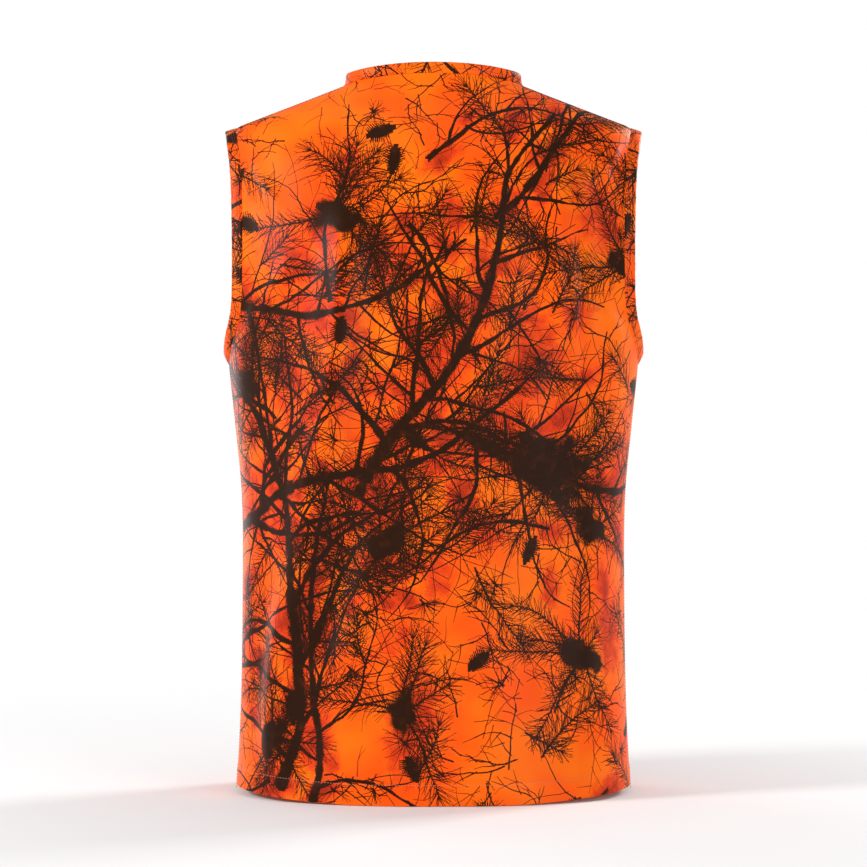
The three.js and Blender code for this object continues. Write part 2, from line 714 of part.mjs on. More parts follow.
const zipTop = frontNeckHeight / Math.cos(Math.atan(ZIP_LEAN)) - ZIP_END_MARGIN;
const tapeFront = FABRIC + LINING_GAP; // depths behind the front's outer face
const tapeBack = tapeFront + TAPE;
const teethFront = (tapeFront + tapeBack - TEETH_THICKNESS) / 2;
const teethBack = teethFront + TEETH_THICKNESS;
const teethOuter = TEETH_INNER + TEETH_WIDTH;
const retainerBottom = ZIP_END_MARGIN;
const retainerTop = retainerBottom + RETAINER_HEIGHT;
const sliderTop = zipTop - STOP_LENGTH - GAP;
const sliderBottom = sliderTop - SLIDER_LENGTH;

function addZipPair(name, low, high, material) {
  addPiece(`${name}_left`, boxBetween(low, high), material, zip);
  const [lowX, highX] = [-high[0], -low[0]];
  addPiece(
    `${name}_right`,
    boxBetween([lowX, low[1], low[2]], [highX, high[1], high[2]]),
    material,
    zip,
  );
}
addZipPair(
  "zip_tape",
  [teethOuter + GAP, tapeFront, retainerBottom],
  [ZIP_TAPE_OUTER, tapeBack, zipTop],
  zipTape,
);
addZipPair(
  "zip_teeth",
  [TEETH_INNER, teethFront, retainerTop + GAP],
  [teethOuter, teethBack, zipTop - STOP_LENGTH - GAP],
  mouldedPlastic,
);
addZipPair(
  "zip_top_stop",
  [TEETH_INNER, teethFront, zipTop - STOP_LENGTH],
  [teethOuter, teethBack, zipTop],
  mouldedPlastic,
);

// The pin on the left side slots into the box on the right side, which is open towards it.
const pinLow = [TEETH_INNER, teethFront, retainerBottom + 1];
const pinHigh = [teethOuter, teethBack, retainerTop];
addPiece("zip_pin", boxBetween(pinLow, pinHigh), mouldedPlastic, zip);
const boxWall = 1.2;
const retainer = solidOf(
  boxBetween(
    [-teethOuter, teethFront - boxWall - GAP, retainerBottom - 1],
    [teethOuter, teethBack + boxWall + GAP, retainerTop - 2],
  ),
).subtract(
  solidOf(
    boxBetween(
      [TEETH_INNER - GAP, teethFront - GAP, retainerBottom],
      [teethOuter + 1, teethBack + GAP, retainerTop],
    ),
  ),
);
addPiece("zip_retainer_box", geometryOf(retainer), mouldedPlastic, zip);

// The slider: two plates with inturned flanges, a wedge between them and a bridge in front.
const plateFront = teethFront - GAP - SLIDER_PLATE;
const plateBack = teethBack + GAP + SLIDER_PLATE;
function sliderPlate(low, high) {
  const taper = 1.2;
  const outline = new THREE.Shape([
    new THREE.Vector2(-SLIDER_HALF_WIDTH + taper, sliderBottom),
    new THREE.Vector2(SLIDER_HALF_WIDTH - taper, sliderBottom),
    new THREE.Vector2(SLIDER_HALF_WIDTH, sliderBottom + SLIDER_LENGTH / 2),
    new THREE.Vector2(SLIDER_HALF_WIDTH, sliderTop - 2),
    new THREE.Vector2(SLIDER_HALF_WIDTH - 2, sliderTop),
    new THREE.Vector2(-SLIDER_HALF_WIDTH + 2, sliderTop),
    new THREE.Vector2(-SLIDER_HALF_WIDTH, sliderTop - 2),
    new THREE.Vector2(-SLIDER_HALF_WIDTH, sliderBottom + SLIDER_LENGTH / 2),
  ]);
  const plate = new THREE.ExtrudeGeometry(outline, { depth: high - low, bevelEnabled: false });
  return plate.rotateX(Math.PI / 2).translate(0, high, 0);
}
const flangeInner = SLIDER_HALF_WIDTH - SLIDER_FLANGE;
const tapeSlot = 0.25;
function flangeBox(hand, low, high) {
  const xs = [hand * flangeInner, hand * SLIDER_HALF_WIDTH].sort((a, b) => a - b);
  return boxBetween([xs[0], low, sliderBottom + SLIDER_LENGTH / 2], [xs[1], high, sliderTop - 2]);
}
const bridgeMiddle = sliderTop - SLIDER_LENGTH / 2;
const bridgeHeight = BRIDGE_HOLE.height + 1.1;
const bridgeHalfLength = BRIDGE_HOLE.length / 2 + 1.2;
const bridgeRoot = plateFront + 0.2;
const holeLow = plateFront - BRIDGE_HOLE.height - 0.1;
const slider = [
  sliderPlate(teethBack + GAP, plateBack),
  boxBetween(
    [-DIAMOND_HALF_WIDTH, plateFront + 0.5, sliderTop - 3],
    [DIAMOND_HALF_WIDTH, plateBack - 0.5, sliderTop - 0.5],
  ),
  ...[-1, 1].flatMap((hand) => [
    flangeBox(hand, plateFront + 0.5, tapeFront - tapeSlot),
    flangeBox(hand, tapeBack + tapeSlot, plateBack - 0.5),
  ]),
  boxBetween(
    [-BRIDGE_WIDTH / 2, plateFront - bridgeHeight, bridgeMiddle - bridgeHalfLength],
    [BRIDGE_WIDTH / 2, bridgeRoot, bridgeMiddle + bridgeHalfLength],
  ),
]
  .reduce((body, geometry) => body.add(solidOf(geometry)), solidOf(sliderPlate(plateFront, teethFront - GAP)))
  .subtract(
    solidOf(
      boxBetween(
        [-BRIDGE_WIDTH, holeLow, bridgeMiddle - BRIDGE_HOLE.length / 2],
        [BRIDGE_WIDTH, plateFront - 0.1, bridgeMiddle + BRIDGE_HOLE.length / 2],
      ),
    ),
  );
addPiece("zip_slider", geometryOf(slider), blackMetal, zip);

// The puller hangs from the bridge by the bar across its window.
function pullerGeometry() {
  const { length, width, thickness, window } = PULLER;
  const half = width / 2;
  const outline = new THREE.Shape();
  outline.moveTo(-half + 1, thickness / 2);
  outline.lineTo(half - 1, thickness / 2);
  outline.lineTo(half, thickness / 2 - 1);
  outline.lineTo(half - 1.2, -length * 0.45);
  outline.lineTo(half, -length + half);
  outline.absarc(0, -length + half, half, 0, -Math.PI, true);
  outline.lineTo(-half + 1.2, -length * 0.45);
  outline.lineTo(-half, thickness / 2 - 1);
  outline.closePath();
  const hole = new THREE.Path([
    new THREE.Vector2(-window.width / 2, -thickness / 2),
    new THREE.Vector2(-window.width / 2, -thickness / 2 - window.length),
    new THREE.Vector2(window.width / 2, -thickness / 2 - window.length),
    new THREE.Vector2(window.width / 2, -thickness / 2),
  ]);
  outline.holes.push(hole);
  const geometry = new THREE.ExtrudeGeometry(outline, {
    depth: thickness,
    bevelEnabled: false,
    curveSegments: 10,
  });
  return geometry.translate(0, 0, -thickness / 2).rotateX(Math.PI / 2);
}
const puller = addPiece("zip_puller", pullerGeometry(), blackMetal, zip);
const pullerAxis = (holeLow + plateFront - 0.1) / 2;
puller.position.set(0, pullerAxis, bridgeMiddle);

// The guard behind the zip keeps its teeth off the wearer's clothes.
const guardFront = plateBack + 0.6;
const guard = solidOf(
  boxBetween(
    [-GUARD_HALF_WIDTH, guardFront, retainerTop],
    [ZIP_TAPE_OUTER - 1, guardFront + TAPE, zipTop - 2],
  ),
).add(
  solidOf(
    boxBetween(
      [ZIP_TAPE_OUTER - 4, tapeBack + GAP, retainerTop],
      [ZIP_TAPE_OUTER - 1, guardFront + TAPE / 2, zipTop - 2],
    ),
  ),
);
addPiece("zip_guard", geometryOf(guard), plainCloth, zip);

// ---- Pockets ----------------------------------------------------------------------------------------
const mouthHeight = POCKET.bottom + POCKET.height;
// A point over the moving front, by its place across and up, moved out by an offset.
function overFront(x, z, offset) {
  const { s, t } = frontShares(x, z);
  return movingFront.at(s / foldShare(t, -FOLD_GAP / 2), t, offset);
}
function pocketSkin(base) {
  return (i, j) => {
    const [s, t] = [i / POCKET_CELLS, j / POCKET_CELLS];
    const fromEdge = Math.min(s, 1 - s, t) / POCKET.border;
    const inside = THREE.MathUtils.smoothstep(fromEdge, 0, 1);
    const x = POCKET.inner + s * POCKET.width;
    return overFront(x, POCKET.bottom + t * POCKET.height, base + POCKET.rise * inside);
  };
}
addPair(
  "pocket",
  sheetGeometry(POCKET_CELLS, POCKET_CELLS, pocketSkin(POCKET_GAP + 1), pocketSkin(POCKET_GAP)),
  printedCloth,
);

const flapTop = mouthHeight + FLAP.aboveMouth;
const [flapColumns, flapRows] = [10, 8];
function flapSkin(thickness) {
  return (i, j) => {
    const [s, t] = [i / flapColumns, j / flapRows];
    const x = mix(-FLAP.overhang, POCKET.width + FLAP.overhang, s) + POCKET.inner;
    const point = 5 * Math.max(0, 1 - Math.abs(2 * s - 1) * 1.15);
    const down = t * (FLAP.height + point);
    const lifted = THREE.MathUtils.smoothstep(down, 0, FLAP.aboveMouth - 1);
    const offset = POCKET_GAP + (FLAP.lift - POCKET_GAP) * lifted + thickness;
    return overFront(x, flapTop - down, offset);
  };
}
addPair(
  "pocket_flap",
  sheetGeometry(flapColumns, flapRows, flapSkin(FLAP.thickness), flapSkin(0)),
  printedCloth,
);

// Snap parts are turned about the body's normal at the flap's point.
const snapAt = {
  x: POCKET.inner + POCKET.width / 2,
  z: flapTop - FLAP.height + SNAP.aboveFlapEdge,
};
function snapGeometry(profile) {
  const lathe = new THREE.LatheGeometry(
    profile.map(([radius, height]) => new THREE.Vector2(radius, height)),
    14,
  );
  const normal = normalOf(FRONT, snapAt.x, snapAt.z);
  const turn = new THREE.Quaternion().setFromUnitVectors(new THREE.Vector3(0, 1, 0), normal);
  const base = overFront(snapAt.x, snapAt.z, 0);
  lathe.applyQuaternion(turn).translate(base.x, base.y, base.z);
  return geometryOf(solidOf(lathe));
}
const pocketFace = POCKET_GAP + 1 + POCKET.rise;
const flapInnerFace = FLAP.lift;
const flapOuterFace = flapInnerFace + FLAP.thickness;
const studBase = pocketFace + GAP;
addPair(
  "snap_stud",
  snapGeometry([
    [0, studBase],
    [SNAP.radius, studBase],
    [SNAP.radius, studBase + 0.5],
    [SNAP.knob, studBase + 0.8],
    [SNAP.knob, flapInnerFace - GAP],
    [0, flapInnerFace - GAP],
  ]),
  blackMetal,
);
const socketLow = studBase + 0.5 + GAP;
addPair(
  "snap_socket",
  snapGeometry([
    [SNAP.knob + GAP, socketLow + 0.4],
    [SNAP.radius, socketLow],
    [SNAP.radius, flapInnerFace - GAP],
    [SNAP.knob + GAP, flapInnerFace - GAP],
    [SNAP.knob + GAP, socketLow + 0.4],
  ]),
  blackMetal,
);
addPair(
  "snap_cap",
  snapGeometry([
    [0, flapOuterFace + GAP],
    [SNAP.cap, flapOuterFace + GAP],
    [SNAP.cap, flapOuterFace + GAP + 0.7],
    [SNAP.cap * 0.8, flapOuterFace + GAP + 1.4],
    [SNAP.cap * 0.4, flapOuterFace + GAP + 1.8],
    [0, flapOuterFace + GAP + 1.9],
  ]),
  blackMetal,
);

// The origin is the middle of the vest's footprint, on the plane it stands on.
const bounds = new THREE.Box3().setFromObject(vest);
vest.children.forEach((child) => {
  child.position.y -= (bounds.min.y + bounds.max.y) / 2;
});

export default vest;
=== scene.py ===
"""A sleeveless printed vest, standing open as worn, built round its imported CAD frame."""

from __future__ import annotations

import logging
import math
from dataclasses import dataclass, field
from enum import Enum

import bmesh
import bpy
import numpy as np
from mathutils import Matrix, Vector


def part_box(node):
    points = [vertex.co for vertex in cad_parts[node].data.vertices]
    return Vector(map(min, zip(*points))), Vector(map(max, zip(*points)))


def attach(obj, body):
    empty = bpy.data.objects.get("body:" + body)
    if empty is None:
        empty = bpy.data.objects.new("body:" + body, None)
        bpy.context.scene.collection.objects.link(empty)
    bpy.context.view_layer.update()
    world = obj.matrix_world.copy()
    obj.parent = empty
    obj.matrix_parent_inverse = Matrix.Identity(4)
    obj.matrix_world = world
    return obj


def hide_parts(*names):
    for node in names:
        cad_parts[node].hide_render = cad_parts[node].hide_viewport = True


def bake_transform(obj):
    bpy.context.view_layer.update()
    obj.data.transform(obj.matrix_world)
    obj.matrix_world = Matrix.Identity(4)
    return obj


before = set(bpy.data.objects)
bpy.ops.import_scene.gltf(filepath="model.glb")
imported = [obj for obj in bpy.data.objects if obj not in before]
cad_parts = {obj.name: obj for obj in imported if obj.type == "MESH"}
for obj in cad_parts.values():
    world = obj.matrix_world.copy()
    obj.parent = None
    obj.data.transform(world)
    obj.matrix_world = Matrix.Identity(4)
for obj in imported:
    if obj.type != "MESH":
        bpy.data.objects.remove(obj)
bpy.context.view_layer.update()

LOG = logging.getLogger("vest")
MM = 0.001
Array = np.ndarray


class Side(Enum):
    """Which half of the body a cloth covers."""

    BACK = 1
    FRONT = -1


class Hand(Enum):
    """The wearer's left or right."""

    LEFT = 1
    RIGHT = -1

    @property
    def word(self) -> str:
        """The hand as it stands in node names."""
        return self.name.lower()


# ---- The body the vest stands on ----


def mix(low: float | Array, high: float | Array, share: float | Array) -> float | Array:
    """Returns the value at a share of the way from low to high."""
    return low + (high - low) * share


def smooth(value: Array, low: float, high: float) -> Array:
    """Returns a smooth step of value, 0 below low and 1 above high."""
    share = np.clip((value - low) / (high - low), 0.0, 1.0)
    return share * share * (3.0 - 2.0 * share)


class StopCurve:
    """A smooth curve through stops, with the mean of the chords' slopes at each."""

    def __init__(self, *stops: tuple[float, float]) -> None:
        """Takes the stops.

        Args:
            stops: Pairs of place and value, in order of place.
        """
        self.places, self.values = np.array(stops, dtype=float).T
        chords = np.diff(self.values) / np.diff(self.places)
        self.slopes = (np.append(chords[0], chords) + np.append(chords, chords[-1])) / 2

    def __call__(self, place: Array) -> Array:
        """Returns the values at places, held at the end values outside the stops."""
        x, y = self.places, self.values
        place = np.clip(np.asarray(place, dtype=float), x[0], x[-1])
        i = np.clip(np.searchsorted(x, place, side="right") - 1, 0, len(x) - 2)
        width, rise = x[i + 1] - x[i], y[i + 1] - y[i]
        first, last = self.slopes[i] * width, self.slopes[i + 1] * width
        p = (place - x[i]) / width
        return y[i] + p * (first + p * (3 * rise - 2 * first - last + p * (first + last - 2 * rise)))


FOLD_DEPTH = 1.25
HEM_STITCH = 19.5


@dataclass(frozen=True)
class Fold:
    """A soft ridge, or a valley where its height is negative, between two places.

    Attributes:
        side: The cloth that it lies on.
        start: Its lower end, across and up, in millimetres.
        end: Its upper end.
        width: How wide it is to either side of its line.
        height: How far it stands off the body.
    """

    side: Side
    start: tuple[float, float]
    end: tuple[float, float]
    width: float
    height: float

    def at(self, x: Array, z: Array) -> Array:
        """Returns how far the fold lifts the cloth at places across and up."""
        (x0, z0), (x1, z1) = self.start, self.end
        run = np.array([x1 - x0, z1 - z0])
        length = float(np.hypot(*run))
        along = ((x - x0) * run[0] + (z - z0) * run[1]) / length
        away = ((x - x0) * run[1] - (z - z0) * run[0]) / length
        sway = 0.22 * self.width * np.sin(along / length * 5.1 + x0 * 0.7)
        fade = smooth(along, -0.12 * length, 0.3 * length)
        fade = fade * (1 - smooth(along, 0.7 * length, 1.12 * length))
        return FOLD_DEPTH * self.height * fade * np.exp(-(((away - sway) / self.width) ** 2))


BACK, FRONT = Side.BACK, Side.FRONT
FOLD_PLACES = {
    BACK: (
        ((100, 300), (88, 570), 19, 8.0), ((64, 330), (56, 540), 17, -4.5),
        ((138, 150), (114, 360), 17, 8.0), ((100, 130), (82, 300), 18, -4.6),
        ((152, 10), (146, 190), 15, 6.5), ((172, 30), (164, 300), 12, -3.0),
        ((118, 5), (108, 130), 15, -2.2), ((-128, 410), (-120, 600), 16, 6.5),
        ((-152, 380), (-146, 560), 13, -3.0), ((-100, 300), (-112, 470), 24, 2.6),
        ((-150, 90), (-138, 300), 20, 3.4), ((-118, 60), (-104, 240), 20, -2.6),
        ((-60, 10), (-52, 150), 24, 2.2), ((24, 20), (16, 210), 26, 2.4),
        ((-170, 600), (-192, 628), 9, -2.4), ((-150, 590), (-186, 640), 10, 2.6),
        ((150, 560), (186, 636), 11, 2.0), ((178, 450), (140, 520), 12, 2.6),
        ((-182, 440), (-146, 500), 12, 2.4),
    ),
    FRONT: (
        ((150, 60), (140, 330), 16, 4.0), ((118, 240), (104, 430), 18, -2.6),
        ((86, 250), (74, 470), 20, 3.0), ((170, 330), (140, 460), 13, 3.4),
        ((-146, 80), (-136, 350), 17, 3.8), ((-112, 230), (-100, 400), 18, -2.6),
        ((-80, 240), (-68, 480), 21, 2.8), ((-172, 320), (-142, 470), 13, 3.6),
    ),
}
FOLDS = tuple(Fold(side, *place) for side, places in FOLD_PLACES.items() for place in places)


@dataclass(frozen=True)
class BodyForm:
    """The worn vest's shape in millimetres, the same as its CAD panels', and how cloth lies on it."""

    length: float = 705.0
    chest: float = 202.5
    back_depth: float = 126.0
    front_depth: float = 122.0
    shoulder: float = 197.0
    underarm: float = 421.0
    neck_point: float = 697.5
    slope: float = 42.0
    front_neck: float = 593.0
    neck_half: float = 88.0
    zip_opening: float = 7.0
    seam_gap: float = 0.02
    zip_lean: float = 0.03

    @property
    def shoulder_end(self) -> float:
        """The height of the shoulder seam's arm end."""
        return self.neck_point - self.slope

    def up_armhole(self, share: float) -> float:
        """Returns the height at a share of the armhole."""
        return self.underarm + share * (self.shoulder_end - self.underarm)

    def half_width(self, z: Array) -> Array:
        """Returns half the body's width at heights."""
        c, w, arm = self.chest, 190.0, self.up_armhole
        lower = StopCurve(
            (0, c - 7.5),
            (0.4 * w, c - mix(13.5, 7.5, 0.35)),
            (w, c - 13.5),
            (mix(w, self.underarm, 0.45), c - 0.93 * 13.5),
            (mix(w, self.underarm, 0.75), c - 0.45 * 13.5),
            (self.underarm, c),
            (arm(0.35), c + 6),
            (arm(0.7), c + 8),
            (arm(0.88), c + 6.4),
            (arm(0.97), mix(c, self.shoulder, 0.35)),
            (self.shoulder_end, self.shoulder),
        )
        up = np.clip((z - self.shoulder_end) / self.slope, 0, 1)
        return np.where(z <= self.shoulder_end, lower(z), mix(self.shoulder, self.neck_half, up))

    def depth_at(self, side: Side, z: Array) -> Array:
        """Returns how far from the side seams the middle of a side is, at heights."""
        if side is BACK:
            b, n, arm = self.back_depth, 60.0, self.up_armhole
            return StopCurve(
                (0, b),
                (190, b - 7),
                (self.underarm, b - 1),
                (arm(0.45), b - 6),
                (arm(0.82), b - 25),
                (self.shoulder_end, mix(b, n, 0.68)),
                (mix(self.shoulder_end, self.neck_point, 0.6), mix(b, n, 0.88)),
                (self.length, n),
            )(z)
        low, n = self.front_depth - self.zip_lean * self.front_neck, 38.0
        upper = StopCurve(
            (self.front_neck, low),
            (mix(self.front_neck, self.neck_point, 0.35), mix(low, n, 0.28)),
            (mix(self.front_neck, self.neck_point, 0.7), mix(low, n, 0.66)),
            (self.neck_point, n),
        )
        return np.where(z <= self.front_neck, self.front_depth - self.zip_lean * z, upper(z))

    @staticmethod
    def roundness(side: Side) -> float:
        """Returns the exponent of a side's cross-section."""
        return 2.3 if side is BACK else 2.4

    def depth_of(self, side: Side, x: Array, z: Array) -> Array:
        """Returns how far from the side seams the body is, at places across and up."""
        p = self.roundness(side)
        across = np.minimum(1.0, np.abs(x) / self.half_width(z))
        return self.depth_at(side, z) * np.power(1 - across**p, 1 / p)

    def across_at(self, away: Array, z: Array) -> Array:
        """Returns how far from the middle the back is, at distances from the side seams and heights."""
        p = self.roundness(BACK)
        return self.half_width(z) * np.power(1 - (away / self.depth_at(BACK, z)) ** p, 1 / p)

    def normal_of(self, side: Side, x: Array, z: Array) -> Array:
        """Returns the body's outward normals at places across and up."""
        p, step = self.roundness(side), 0.5
        w, d = self.half_width(z), self.depth_at(side, z)
        y = side.value * self.depth_of(side, x, z)
        top = np.minimum(z + step, self.length if side is BACK else self.neck_point)

        def measure(height: Array) -> Array:
            """Returns the cross-section's own measure of a point at another height."""
            across = np.abs(x) / self.half_width(height)
            return across**p + (np.abs(y) / self.depth_at(side, height)) ** p

        normal = np.stack(
            (
                np.sign(x) * (np.abs(x) / w) ** (p - 1) / w,
                side.value * (np.abs(y) / d) ** (p - 1) / d,
                (measure(top) - measure(top - 2 * step)) / (2 * step * p),
            ),
            axis=-1,
        )
        return normal / np.linalg.norm(normal, axis=-1, keepdims=True)

    def drape(self, side: Side, x: Array, z: Array) -> Array:
        """Returns how far folds and hang lift the cloth off the body at places across and up."""
        lift = 0.9 * np.sin(x * 0.043 + 1.3 + 0.004 * z) * np.sin(z * 0.017 + 0.021 * x)
        lift = lift + 0.5 * np.sin(x * 0.081 - 0.7) * np.sin(z * 0.034 + 2.0 + 0.03 * x)
        for fold in FOLDS:
            if fold.side is side:
                lift = lift + fold.at(x, z)
        edge = self.edge_half_width(side, z)
        lift = lift * smooth(self.top_height(side, x) - z, 2.0, 60.0) * smooth(edge - np.abs(x), 0.0, 15.0)
        lift = lift - 0.7 * np.exp(-((self.depth_of(side, x, z) / 3.0) ** 2))
        hem_line = z - self.hem_height(x / edge)
        lift = lift + 0.5 * (1 - smooth(hem_line, 18.0, 23.0))
        lift = lift - 0.45 * np.exp(-(((hem_line - HEM_STITCH) / 1.6) ** 2))
        if side is FRONT:
            lift = lift * smooth(np.abs(x), 18.0, 60.0)
            pocket = smooth(225.0 - z, 0.0, 30.0) * smooth(150.0 - np.abs(x), 0.0, 18.0)
            lift = lift * (1 - 0.85 * pocket)
        return lift

    def point(self, side: Side, x: Array, z: Array, offset: float | Array = 0.0) -> Array:
        """Returns points on the draped cloth, moved out by an offset, in metres."""
        x, z = np.broadcast_arrays(np.asarray(x, dtype=float), np.asarray(z, dtype=float))
        y = side.value * (self.depth_of(side, x, z) + self.seam_gap / 2) + Y_SHIFT
        lift = np.asarray(offset + self.drape(side, x, z))
        normal = self.normal_of(side, x, z)
        flat = np.stack((x, y, z), axis=-1) + normal * lift[..., None]
        return flat * MM

    def cut_share(self, z: Array) -> Array:
        """Returns how deep the armhole is cut at heights, as a share of its deepest."""
        stops = ((0, 0), (0.08, 0.24), (0.2, 0.8), (0.42, 1), (0.62, 0.9), (0.86, 0.5), (1, 0))
        return StopCurve(*((self.up_armhole(share), cut) for share, cut in stops))(z)

    def edge_half_width(self, side: Side, z: Array) -> Array:
        """Returns how far from the middle a panel's side or armhole edge is, at heights."""
        up = np.clip((z - self.underarm) / (self.shoulder_end - self.underarm), 0, 1)
        chord = mix(self.chest, self.shoulder, up)
        cut = 16.5 if side is BACK else 30.0
        hole = chord - self.cut_share(z) * cut + 3 * np.sin(np.pi * up) ** 2
        whole = self.half_width(z)
        edge = np.where(z <= self.underarm, whole, np.minimum(whole, hole))
        return np.where(z >= self.shoulder_end, self.shoulder, edge)

    def top_height(self, side: Side, x: Array) -> Array:
        """Returns the height of a panel's top edge at places across it."""
        across = np.minimum(np.abs(x) / self.neck_half, 1.0)
        if side is BACK:
            neck = self.neck_point + (self.length - self.neck_point) * (1 - across**2)
        else:
            dip = np.power(1 - across**1.5, 1 / 1.5)
            neck = self.neck_point - (self.neck_point - self.front_neck) * dip
        along = (np.abs(x) - self.neck_half) / (self.shoulder - self.neck_half)
        return np.where(np.abs(x) >= self.neck_half, self.neck_point - along * self.slope, neck)

    @staticmethod
    def hem_height(q: Array) -> Array:
        """Returns the hem's height at shares of the width."""
        return 7.0 * np.power(np.maximum(0.0, (np.abs(q) - 0.35) / 0.65), 1.6)

    def place(self, side: Side, s: Array, t: Array) -> tuple[Array, Array]:
        """Returns places across and up from shares of a panel's width and height.

        Args:
            side: The back, whose width runs from -1 to 1, or a front, from 0 at the zip to 1.
            s: Shares of the width.
            t: Shares of the height.
        """
        q = np.sin(s * np.pi / 2)
        inner = 0.0 if side is BACK else self.zip_opening
        hem = self.hem_height(q)
        z = mix(hem, self.top_height(side, mix(inner, self.shoulder, q)), t)
        return mix(inner, self.edge_half_width(side, z), q), z


BODY_BOX_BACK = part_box("back_panel")[1][1] / MM
CAD_SEAM_GAP = 0.5
Y_SHIFT = BODY_BOX_BACK - (BodyForm.back_depth + CAD_SEAM_GAP / 2)
FORM = BodyForm()


# ---- Meshes ----


def add_object(name: str, data: bpy.types.ID) -> bpy.types.Object:
    """Adds an object that shows a mesh, light or camera."""
    obj = bpy.data.objects.new(name, data)
    bpy.context.scene.collection.objects.link(obj)
    return obj


def corner_vertices(mesh: bpy.types.Mesh) -> Array:
    """Returns the number of the vertex at each face's corner."""
    vertex = np.empty(len(mesh.loops), dtype=np.int32)
    mesh.loops.foreach_get("vertex_index", vertex)
    return vertex


def mesh_object(name: str, points: Array, faces: Array, sharp: float = 50.0) -> bpy.types.Object:
    """Makes an object from points and quads.

    Args:
        name: The piece's name.
        points: Its vertices, in metres.
        faces: Its faces, one row of vertex numbers each.
        sharp: The angle in degrees past which an edge is drawn sharp.

    Returns:
        The object, linked to the scene.
    """
    mesh = bpy.data.meshes.new(name)
    points = np.asarray(points, dtype=np.float32).reshape(-1, 3)
    faces = np.asarray(faces, dtype=np.int32)
    count, corners = faces.shape
    mesh.vertices.add(len(points))
    mesh.vertices.foreach_set("co", points.ravel())
    mesh.loops.add(faces.size)
    mesh.loops.foreach_set("vertex_index", faces.ravel())
    mesh.polygons.add(count)
    mesh.polygons.foreach_set("loop_start", np.arange(0, faces.size, corners, dtype=np.int32))
    mesh.update(calc_edges=True)
    mesh.validate()
    mesh.polygons.foreach_set("use_smooth", np.ones(count, dtype=bool))
    mesh.set_sharp_from_angle(angle=math.radians(sharp))
    return add_object(name, mesh)


def facing_out(points: Array, faces: Array) -> Array:
    """Returns a closed mesh's quads, turned round if they point inwards."""
    p = np.asarray(points).reshape(-1, 3)
    a, b, c, d = (p[faces[:, k]] for k in range(4))
    volume = (a * (np.cross(b, c) + np.cross(c, d))).sum()
    return faces if volume > 0 else faces[:, ::-1]


def shell_faces(columns: int, rows: int) -> Array:
    """Returns the quads of a closed sheet of two skins, the outer skin's first.

    Args:
        columns: How many vertices each skin has across.
        rows: How many it has up.
    """
    number = np.arange(2 * columns * rows).reshape(2, columns, rows)

    def quads(grid: Array) -> Array:
        """Returns the quads of a grid of vertex numbers."""
        corners = (grid[:-1, :-1], grid[1:, :-1], grid[1:, 1:], grid[:-1, 1:])
        return np.stack(corners, axis=-1).reshape(-1, 4)

    outer, inner = number
    rims = (
        np.stack((inner[:, 0], outer[:, 0])),
        np.stack((outer[:, -1], inner[:, -1])),
        np.stack((outer[0], inner[0])),
        np.stack((inner[-1], outer[-1])),
    )
    return np.concatenate((quads(outer), *(quads(grid)[:, ::-1] for grid in (inner, *rims))))


def shell_object(name: str, outer: Array, inner: Array) -> bpy.types.Object:
    """Makes a closed sheet from its two skins, each an array of columns by rows of points."""
    columns, rows = outer.shape[:2]
    points = np.concatenate((outer.reshape(-1, 3), inner.reshape(-1, 3)))
    faces = facing_out(points, shell_faces(columns, rows))
    return mesh_object(name, points, faces)


def unit(vectors: Array) -> Array:
    """Returns vectors at length 1."""
    return vectors / np.linalg.norm(vectors, axis=-1, keepdims=True)


def tangents(points: Array, closed: bool) -> Array:
    """Returns the unit directions along a path of points."""
    if closed:
        return unit(np.roll(points, -1, axis=0) - np.roll(points, 1, axis=0))
    return unit(np.gradient(points, axis=0))


# ---- The print: strokes of ink on a flat plan of the cloth ----


@dataclass
class Strokes:
    """Tapering strokes on the cloth's plan, as segments in millimetres."""

    start: list[Array] = field(default_factory=list)
    end: list[Array] = field(default_factory=list)
    radius: list[Array] = field(default_factory=list)
    owner: list[Array] = field(default_factory=list)
    count: int = 0

    def add(self, points: Array, radii: Array) -> None:
        """Adds one stroke through points, with a radius at each."""
        self.start.append(points[:-1])
        self.end.append(points[1:])
        self.radius.append(np.stack((radii[:-1], radii[1:]), axis=-1))
        self.owner.append(np.full(len(points) - 1, self.count))
        self.count += 1

    def arrays(self) -> tuple[Array, Array, Array, Array]:
        """Returns all segments' starts, ends, radii and owners."""
        return tuple(np.concatenate(x) for x in (self.start, self.end, self.radius, self.owner))


